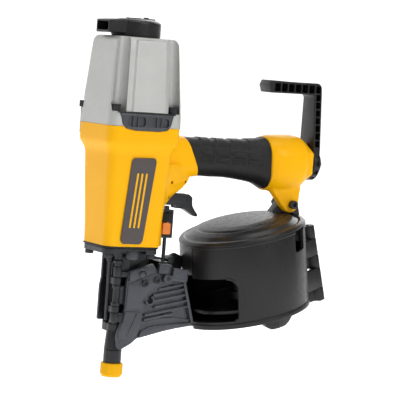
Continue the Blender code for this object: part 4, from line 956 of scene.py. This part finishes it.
def door():
    outline = [(-4, 41.5), (-2.4, 30.8), (0.6, 28.8), (6, 31.4), (13, 35.4), (19.6, 41),
               (46.8, 48.5), (63.4, 52), (84.2, 55.2), (71.4, 100.6), (50, 108.8), (37.5, 111.5),
               (32.9, 118.2), (4.8, 109.6), (3.4, 99), (3, 72), (1.5, 60), (-3.4, 47)]
    radii = [4, 3, 1.5, 4, 4, 3, 14, 14, 1.5, 2.5, 6, 3, 1.5, 2, 6, 14, 10, 4]
    leaf = plate([rounded(outline, radii, 5)], "Y", DOOR_FACE, -9.6, 0.6)
    block = plate([[(11, 62), (58, 66), (58, 95), (11, 98)]], "Y", -10.5, -4.4)
    cut(leaf, *[rod("Y", (x, 0, z), 1.9, 20) for x, z in [DOOR_RIVET, *DOOR_SCREWS, LATCH_PIVOT]])
    arms = [box((-1.6, -10.5, 76), (11.5, -3.6, 94)),
            box((-7, DOOR_FACE + 0.1, 57.4), (6, -9.9, 67.1), 0.5),
            box((-7, DOOR_FACE + 0.1, 104), (7, -9.9, 109), 0.5)]
    knuckles = [tube("Z", (*DOOR_HINGE, 0), 2.5, 4.2, low, high, 32, 0.4)
                for low, high in ((57.4, 67.1), (104, 114.6))]
    settle(joined(*arms, *knuckles), "nose_door_knuckles", "dark_steel", body="door")
    pocket = [(25.5, 79), (33, 88), (44, 94.8), (55, 98), (68.8, 97), (79.6, 60.5),
              (60, 62.6), (44, 62), (30, 59), (24, 58), (23.4, 66)]
    cut(leaf, plate([rounded(pocket, [3, 5, 6, 5, 2, 2, 10, 8, 4, 2, 5], 4)], "Y", -20,
                    DOOR_FACE + 2.2))
    ribs = []
    for x0, z0, x1 in ((40, 90.6, 69.5), (34, 84.2, 71), (33.5, 78, 72.6),
                       (36.5, 72, 74.4), (25.6, 63.6, 76), (25, 58.8, 60)):
        z1 = z0 + 0.2 * (x1 - x0)
        ribs.append(door_relief([(x0, z0), (x1, z1), (x1 - 0.5, z1 + 2.5), (x0, z0 + 2.5)], 0.8,
                                1.9, 3, 0.45))
    side_bar = door_relief([(71, 99.6), (67.6, 100.4), (80.2, 57.4), (83.8, 56.4)], 0.8, 2.8)
    top_bar = door_relief([(5.4, 109), (32.4, 117.4), (34, 110.2), (5, 98.8)], 1, 2.6,
                          edge=0.6)
    step = door_relief([(5, 96.4), (33.5, 107.4), (44.5, 107), (43.5, 97), (31, 90.8),
                        (23.6, 81), (20.5, 72), (4, 71)], [1, 2, 2, 3, 4, 4, 3, 1], 1.1,
                       edge=0.45, steps=4)
    foot = door_relief([(-2.2, 41), (2, 39.4), (9, 39.2), (18, 41.8), (22.6, 56),
                        (20.5, 68.6), (3, 69), (1.9, 60), (-2.8, 47)],
                       [2, 4, 5, 4, 8, 2, 2, 6, 4], 1.6, edge=0.45, steps=4)
    crease = door_relief([(6, 43), (7.4, 42.6), (17.6, 66.2), (16.2, 66.8)], 0.5, 2.3,
                         edge=0.3, steps=2)
    lip = door_relief([(19, 41.4), (46.6, 48.6), (63.2, 52.1), (84, 55.3), (83.4, 58.6),
                       (63.2, 56.9), (46.4, 55.4), (32, 53), (22.6, 49)],
                      [1, 8, 8, 0.6, 1, 8, 8, 4, 2], 2.8)
    curl_at = (30, 80.5)
    curl = arc(5.2, -170, 70, 14, curl_at) + arc(3.2, 70, -170, 14, curl_at)
    spring = plate([curl], "Y", DOOR_FACE - 3.6, DOOR_FACE + 0.8, 0.5)
    stop = door_relief([(38, 108.4), (53, 107.2), (53.4, 117.6), (38.8, 119)], 0.9, 2.7, 2,
                       0.6)
    rings = [tube("Y", (x, DOOR_FACE, z), 4, 4.9, -0.5, 1.9, 36, 0.2) for x, z in DOOR_SCREWS]
    rings.append(tube("Y", (DOOR_RIVET[0], DOOR_FACE, DOOR_RIVET[1]), 4.3, 5.2, -0.5, 3.2, 36, 0.2))
    leaf = joined(leaf, block, *ribs, side_bar, top_bar, step, foot, crease, lip, spring, stop,
                  *rings)
    # The door leaf takes the lighter steel, a painted sheen in place of the key light off its faces.
    settle(leaf, "nose_door_leaf", "dark_steel", "nose_door", body="door", look="door_steel_painted_sheen")


def door_hardware():
    rivet = turned([(0, 5.4), (2.4, 4.9), (3.8, 3.6), (4.3, 2.7), (1.6, 2.7), (1.6, -3.6), (0, -3.6)],
                   40, "Y", (DOOR_RIVET[0], DOOR_FACE, DOOR_RIVET[1]), 0.5)
    # The rivet takes the lighter door steel, a painted sheen.
    settle(rivet, "door_rivet_dome", "bright_steel", "door_rivet", body="door", look="door_steel_painted_sheen")
    for label, (x, z) in zip("ab", DOOR_SCREWS):
        screw = turned([(0, 1.2), (1.8, 1.2), (1.8, 3), (3.7, 3), (3.7, 0.3), (1.6, 0.3),
                        (1.6, -3.6), (0, -3.6)], 32, "Y", (x, DOOR_FACE, z), 0.25)
        settle(screw, f"door_screw_{label}_head", "dark_steel", f"door_screw_{label}", body="door")
    outline = [(44, 99.6), (52, 100), (53, 102), (68.6, 100), (70.2, 101.6), (70.4, 113),
               (53.4, 115), (52.6, 106.6), (45, 108.4), (42.2, 104.4)]
    latch = plate([rounded(outline, [3, 2, 1, 1, 1, 1, 1, 1, 3, 3], 4)], "Y", -20.6, -16.8, 0.6)
    cut(latch, rod("Y", (LATCH_PIVOT[0], 0, LATCH_PIVOT[1]), 1.9, 30, 20))
    # The latch takes the lighter door steel, a painted sheen.
    settle(latch, "door_latch_lever", "dark_steel", "door_latch", body="latch", look="door_steel_painted_sheen")


# Magazine, in its own tilted frame

def lean(obj):
    """Leans a piece of the drum: its top moves along X, and more so on the side of the nose."""
    for vertex in obj.data.vertices:
        height = max(0, vertex.co.z)
        vertex.co.x += 0.11 * height + 0.05 * height * max(0, -vertex.co.x) / DRUM_R
    return obj


def on_drum(outline, radius):
    """An outline of (angle in degrees, height) laid round the drum at a radius."""
    return [(*polar(radius, math.radians(angle)), z) for angle, z in outline]


def through_wall(outline):
    return loft([on_drum(outline, DRUM_R - 14), on_drum(outline, DRUM_R + 8)])


def ring_part(outer, inner, first, last, steps):
    """The outline of a stretch of the drum's wall between two radii and two angles."""
    return arc(outer, first, last, steps) + arc(inner, last, first, steps)


def knuckle(outline, low, high):
    return cut(plate([outline], "Z", low, high, 0.6), rod("Z", (*COVER_HINGE, -20), 3, 120))


def magazine_base():
    crown = [(0, 98.8), (22, 98.4), (36, 97.2), (45, 95.4), (47.5, 93.6), (50.5, 93.8), (56, 91.4),
             (59.5, 88.6), (61.5, 87.4), (64, 88.4), (67.2, 87.8), (69.3, 85.4), (69.3, 83.8),
             (65.6, 83.8), (65.6, 85.2), (57, 87), (44, 91.6), (22, 94.6), (0, 95)]
    roof = lean(turned(crown, 128, edge=0.8))
    wall = ring_part(DRUM_R, DRUM_R - DRUM_WALL, -19, 170, 72)
    corner = ring_part(DRUM_R, DRUM_R - DRUM_WALL, 166, 187, 10)
    floor = arc(DRUM_R - 1.6, -18.4, 169.4, 72) + [(-66.2, -8.6), (61.5, -24.3)]
    parts = [lean(plate([wall], "Z", 0, 85.8, 0.4)),
             lean(plate([corner], "Z", 54, 85.8, 0.4)), plate([floor], "Z", 0, 3, 0.4),
             tube("Z", (0, 0, 0), 6.4, 9.4, 4, 96, 48, 0)]
    for low, high in ((-6, 8), (30.2, 43.8), (62.2, 76)):
        outline = [(63.5, -17), (66.6, -12.5), (81, -13.5)]
        outline += arc(5.6, 90, -120, 16, COVER_HINGE) + [(74, -20.8), (66.2, -20.8)]
        parts.append(knuckle(outline, low, high))
        if low < 0:
            cut(parts[-1], box((50, -30, -8), (73.5, -23, 5)))
    settle(joined(roof, *parts), "magazine_base_shell", "black_plastic", "magazine_base", place=MAG)


def magazine_cover():
    def notch():
        return through_wall(rounded([(-64, 95), (-64, 61), (-47, 61), (-47, 95)], [0, 3, 3, 0], 5))
    wall = plate([ring_part(DRUM_R, DRUM_R - DRUM_WALL, -172, -21, 110)], "Z", 1, 84, 0.4)
    window = rounded([(-178, 6.5), (-128, 6.5), (-124, 8.5), (-124, 43), (-131, 51), (-178, 51)],
                     [0, 3, 3, 10, 10, 0], 7)
    cut(wall, through_wall(window))
    cut(wall, notch())
    parts = [lean(wall)]
    rim = ring_part(DRUM_R + 1, DRUM_R - 4.6, -171.4, -21.6, 110)
    parts.append(plate([rim], "Z", -1, 4, 0.5))
    parts.append(plate([arc(DRUM_R - 2, -171.8, -22.2, 110)], "Z", -0.4, 2.6, 0.3))
    lip = ring_part(DRUM_R + 0.9, DRUM_R - 1, -171.4, -21.6, 110)
    parts.append(lean(cut(plate([lip], "Z", 81.2, 83.9, 0.5), notch())))
    outline = [(60.5, -27.6), (74, -23), (76, -15.8)] + arc(5.6, 140, -80, 16, COVER_HINGE)
    outline += [(62, -33), (56.5, -36.8)]
    parts += [knuckle(outline, low, high) for low, high in ((8.4, 29.8), (44.2, 61.8))]
    settle(joined(*parts), "magazine_cover_shell", "black_plastic", "magazine_cover", body="cover",
           place=MAG)
    curve = bpy.data.curves.new("rim", "CURVE")
    curve.dimensions = "3D"
    curve.bevel_depth = 1.9
    curve.bevel_resolution = 4
    curve.use_fill_caps = True
    add_line(curve, on_drum([(a, z) for a, z in window if a >= -170], DRUM_R - 1.4))
    settle(lean(wrap(mesh_of(curve))), "magazine_window_bead", "black_plastic", body="cover",
           place=MAG)


def nail_tray():
    tray = turned([(9.8, 24), (13.5, 24), (14.5, 16), (53, 14), (53.6, 15.4), (56, 15.2),
                   (56, 11.5), (12, 11.5), (12, 8), (9.8, 8)], 96, edge=0.5)
    settle(tray, "nail_tray_disc", "black_plastic", "nail_tray", body="tray", place=MAG)


def magazine_bracket():
    outline = [(72, 30), (80, 30), (80, 95), (77, 103.5), (72.4, 108.4), (66.8, 109.6),
               (60.6, 107.8), (54, 101.8), (47, 96.4), (49, 91.5), (58, 92), (66.5, 91.6),
               (72, 88.8)]
    bracket = plate([rounded(outline, [2, 2, 10, 6, 5, 6, 6, 8, 1.5, 1.5, 8, 4, 4], 4)], "Y",
                    -6.5, 6.5, 1)
    x, z = LUG_BOLT
    across, above = x - MAG_X, z - MAG_Z
    hole = (across * math.cos(MAG_TILT) + above * math.sin(MAG_TILT), 30,
            above * math.cos(MAG_TILT) - across * math.sin(MAG_TILT))
    cut(bracket, rod("Y", hole, 3.2, 60, 24))
    settle(bracket, "magazine_bracket_arm", "dark_steel", "magazine_bracket", place=MAG)
    bolt = moved(socket_bolt(4.6, 5.6, 3, 34, 20), (x, -15.2, z), math.pi / 2)
    settle(bolt, "bracket_bolt_head", "dark_steel", "bracket_bolt")
    nut = plate([rounded(circle(5.6, 6, (x, z)), 0.5, 2), circle(3, 24, (x, z))], "Y", 15.2, 19.8,
                0.4)
    settle(nut, "bracket_nut_hex", "dark_steel", "bracket_nut")
    top = rounded([(-14, -62), (4, -64.5), (24, -60), (28, -42), (-12, -44)], 2.5, 4)
    foot = loft([[(5 + (x - 5) * share, -56 + (y + 56) * share, z) for x, y in top]
                 for z, share in ((-1.4, 1), (-8, 0.72), (-11.2, 0.5), (-12, 0.36))])
    settle(foot, "rest_foot_pad", "black_rubber", "rest_foot", body="cover", place=MAG)


# CAD nodes that stay: their finish, and how far their edges are eased.
KEPT = {
    "aluminium": {"cylinder_sleeve": 0.2, "piston": 0.2, "valve_body": 0.15,
                  "feed_cylinder": 0.25},
    "black_rubber": {"piston_ring": 0.1, "nose_gasket": 0.2},
    "bright_steel": {"driver_blade": 0.1, "head_valve_spring": 0, "trigger_lever": 0.2,
                     "valve_stem": 0.1, "valve_spring": 0, "trip_spring": 0,
                     "cover_pin": 0.25},
    "amber_rubber": {"bumper": 0.3},
    "black_plastic": {"head_valve": 0.3},
    "dark_steel": {"trigger_pin": 0.15, "lever_pin": 0.15, "feed_rail": 0.3, "feed_pawl": 0.25,
                   "latch_pin": 0.15, "door_pin": 0.2},
}


def kept_nodes():
    for finish_name, names in KEPT.items():
        for name, bevel in names.items():
            dress_node(name, finish_name, bevel)


# Studio

def studio_floor():
    profile = ((-6, 0), (-4, 0), (-2, 0), (-1, 0), (0, 0), (0.7, 0),
               (1.4, 0), (2.2, 0), (2.8, 0.05), (3.3, 0.35), (3.6, 0.8), (3.9, 1.6), (4, 5))
    mesh = bpy.data.meshes.new("floor")
    mesh.from_pydata([(x, y, z) for y, z in profile for x in (-8, 8)], [],
                     [(2 * i, 2 * i + 1, 2 * i + 3, 2 * i + 2) for i in range(len(profile) - 1)])
    floor = wrap(mesh, "studio_floor")
    modify(floor, "SUBSURF", levels=3, render_levels=3)
    mesh.shade_smooth()
    paper = bpy.data.materials.new("studio_paper")
    paper.use_nodes = True
    tree = paper.node_tree
    cloud = noise(tree, object_place(tree), 3)
    tint = mixed(tree, ramp(tree, cloud, 0.3, 0.7), tinted((0.93, 0.93, 0.93)),
                 tinted((0.95, 0.95, 0.95)))
    plug(tree, tree.nodes["Principled BSDF"],
         {"Base Color": tint, "Roughness": 0.9, "Specular IOR Level": 0.1,
          "Emission Color": (1, 1, 1, 1), "Emission Strength": 0.62})
    mesh.materials.append(paper)


def lights():
    world = bpy.data.worlds.new("studio")
    world.use_nodes = True
    plug(world.node_tree, world.node_tree.nodes["Background"],
         {"Color": (1, 1, 1, 1), "Strength": 0.31})
    bpy.context.scene.world = world
    for name, place, size, energy in (("key", (0.5, -2, 1.3), 1, 15),
                                      ("top", (0.1, -0.3, 2), 1.4, 13),
                                      ("left", (-2.2, -0.3, 0.9), 1.2, 1.6),
                                      ("back", (1.6, 1.6, 1.4), 1.6, 12)):
        light = bpy.data.lights.new(name, "AREA")
        light.shape = "DISK"
        light.size = size
        light.energy = energy
        lamp = bpy.data.objects.new(name, light)
        bpy.context.scene.collection.objects.link(lamp)
        lamp.location = place
        aim = Vector((-0.02, 0, 0.18)) - Vector(place)
        lamp.rotation_euler = aim.to_track_quat("-Z", "Y").to_euler()


def camera():
    """A long lens 29 degrees round from the near side, 4 above it and rolled by 4 degrees."""
    data = bpy.data.cameras.new("camera")
    data.lens = 189.4
    data.sensor_width = 36.0
    data.clip_end = 60.0
    cam = bpy.data.objects.new("camera", data)
    bpy.context.scene.collection.objects.link(cam)
    azimuth, elevation, roll = (math.radians(a) for a in (-29.0757, 3.7625, 4.35))
    aim, distance = (-0.01604, -0.01253, 0.18564), 2.17855
    cam.matrix_world = (Matrix.Translation(aim) @ Matrix.Rotation(azimuth, 4, "Z")
                        @ Matrix.Rotation(math.pi / 2 - elevation, 4, "X")
                        @ Matrix.Rotation(roll, 4, "Z") @ Matrix.Translation((0, 0, distance)))
    bpy.context.scene.camera = cam
    bpy.context.scene.view_settings.view_transform = "Standard"


for make in (camera, studio_floor, lights, housing, cylinder_cap, cap_bolts, muffler_bands,
             badges, end_plate, air_inlet, grip, rafter_hook, deflector, trigger, linkage,
             nose_tip, nose_fixings, nose, contact_arm, door, door_hardware, magazine_base,
             magazine_cover, nail_tray, magazine_bracket, kept_nodes):
    make()
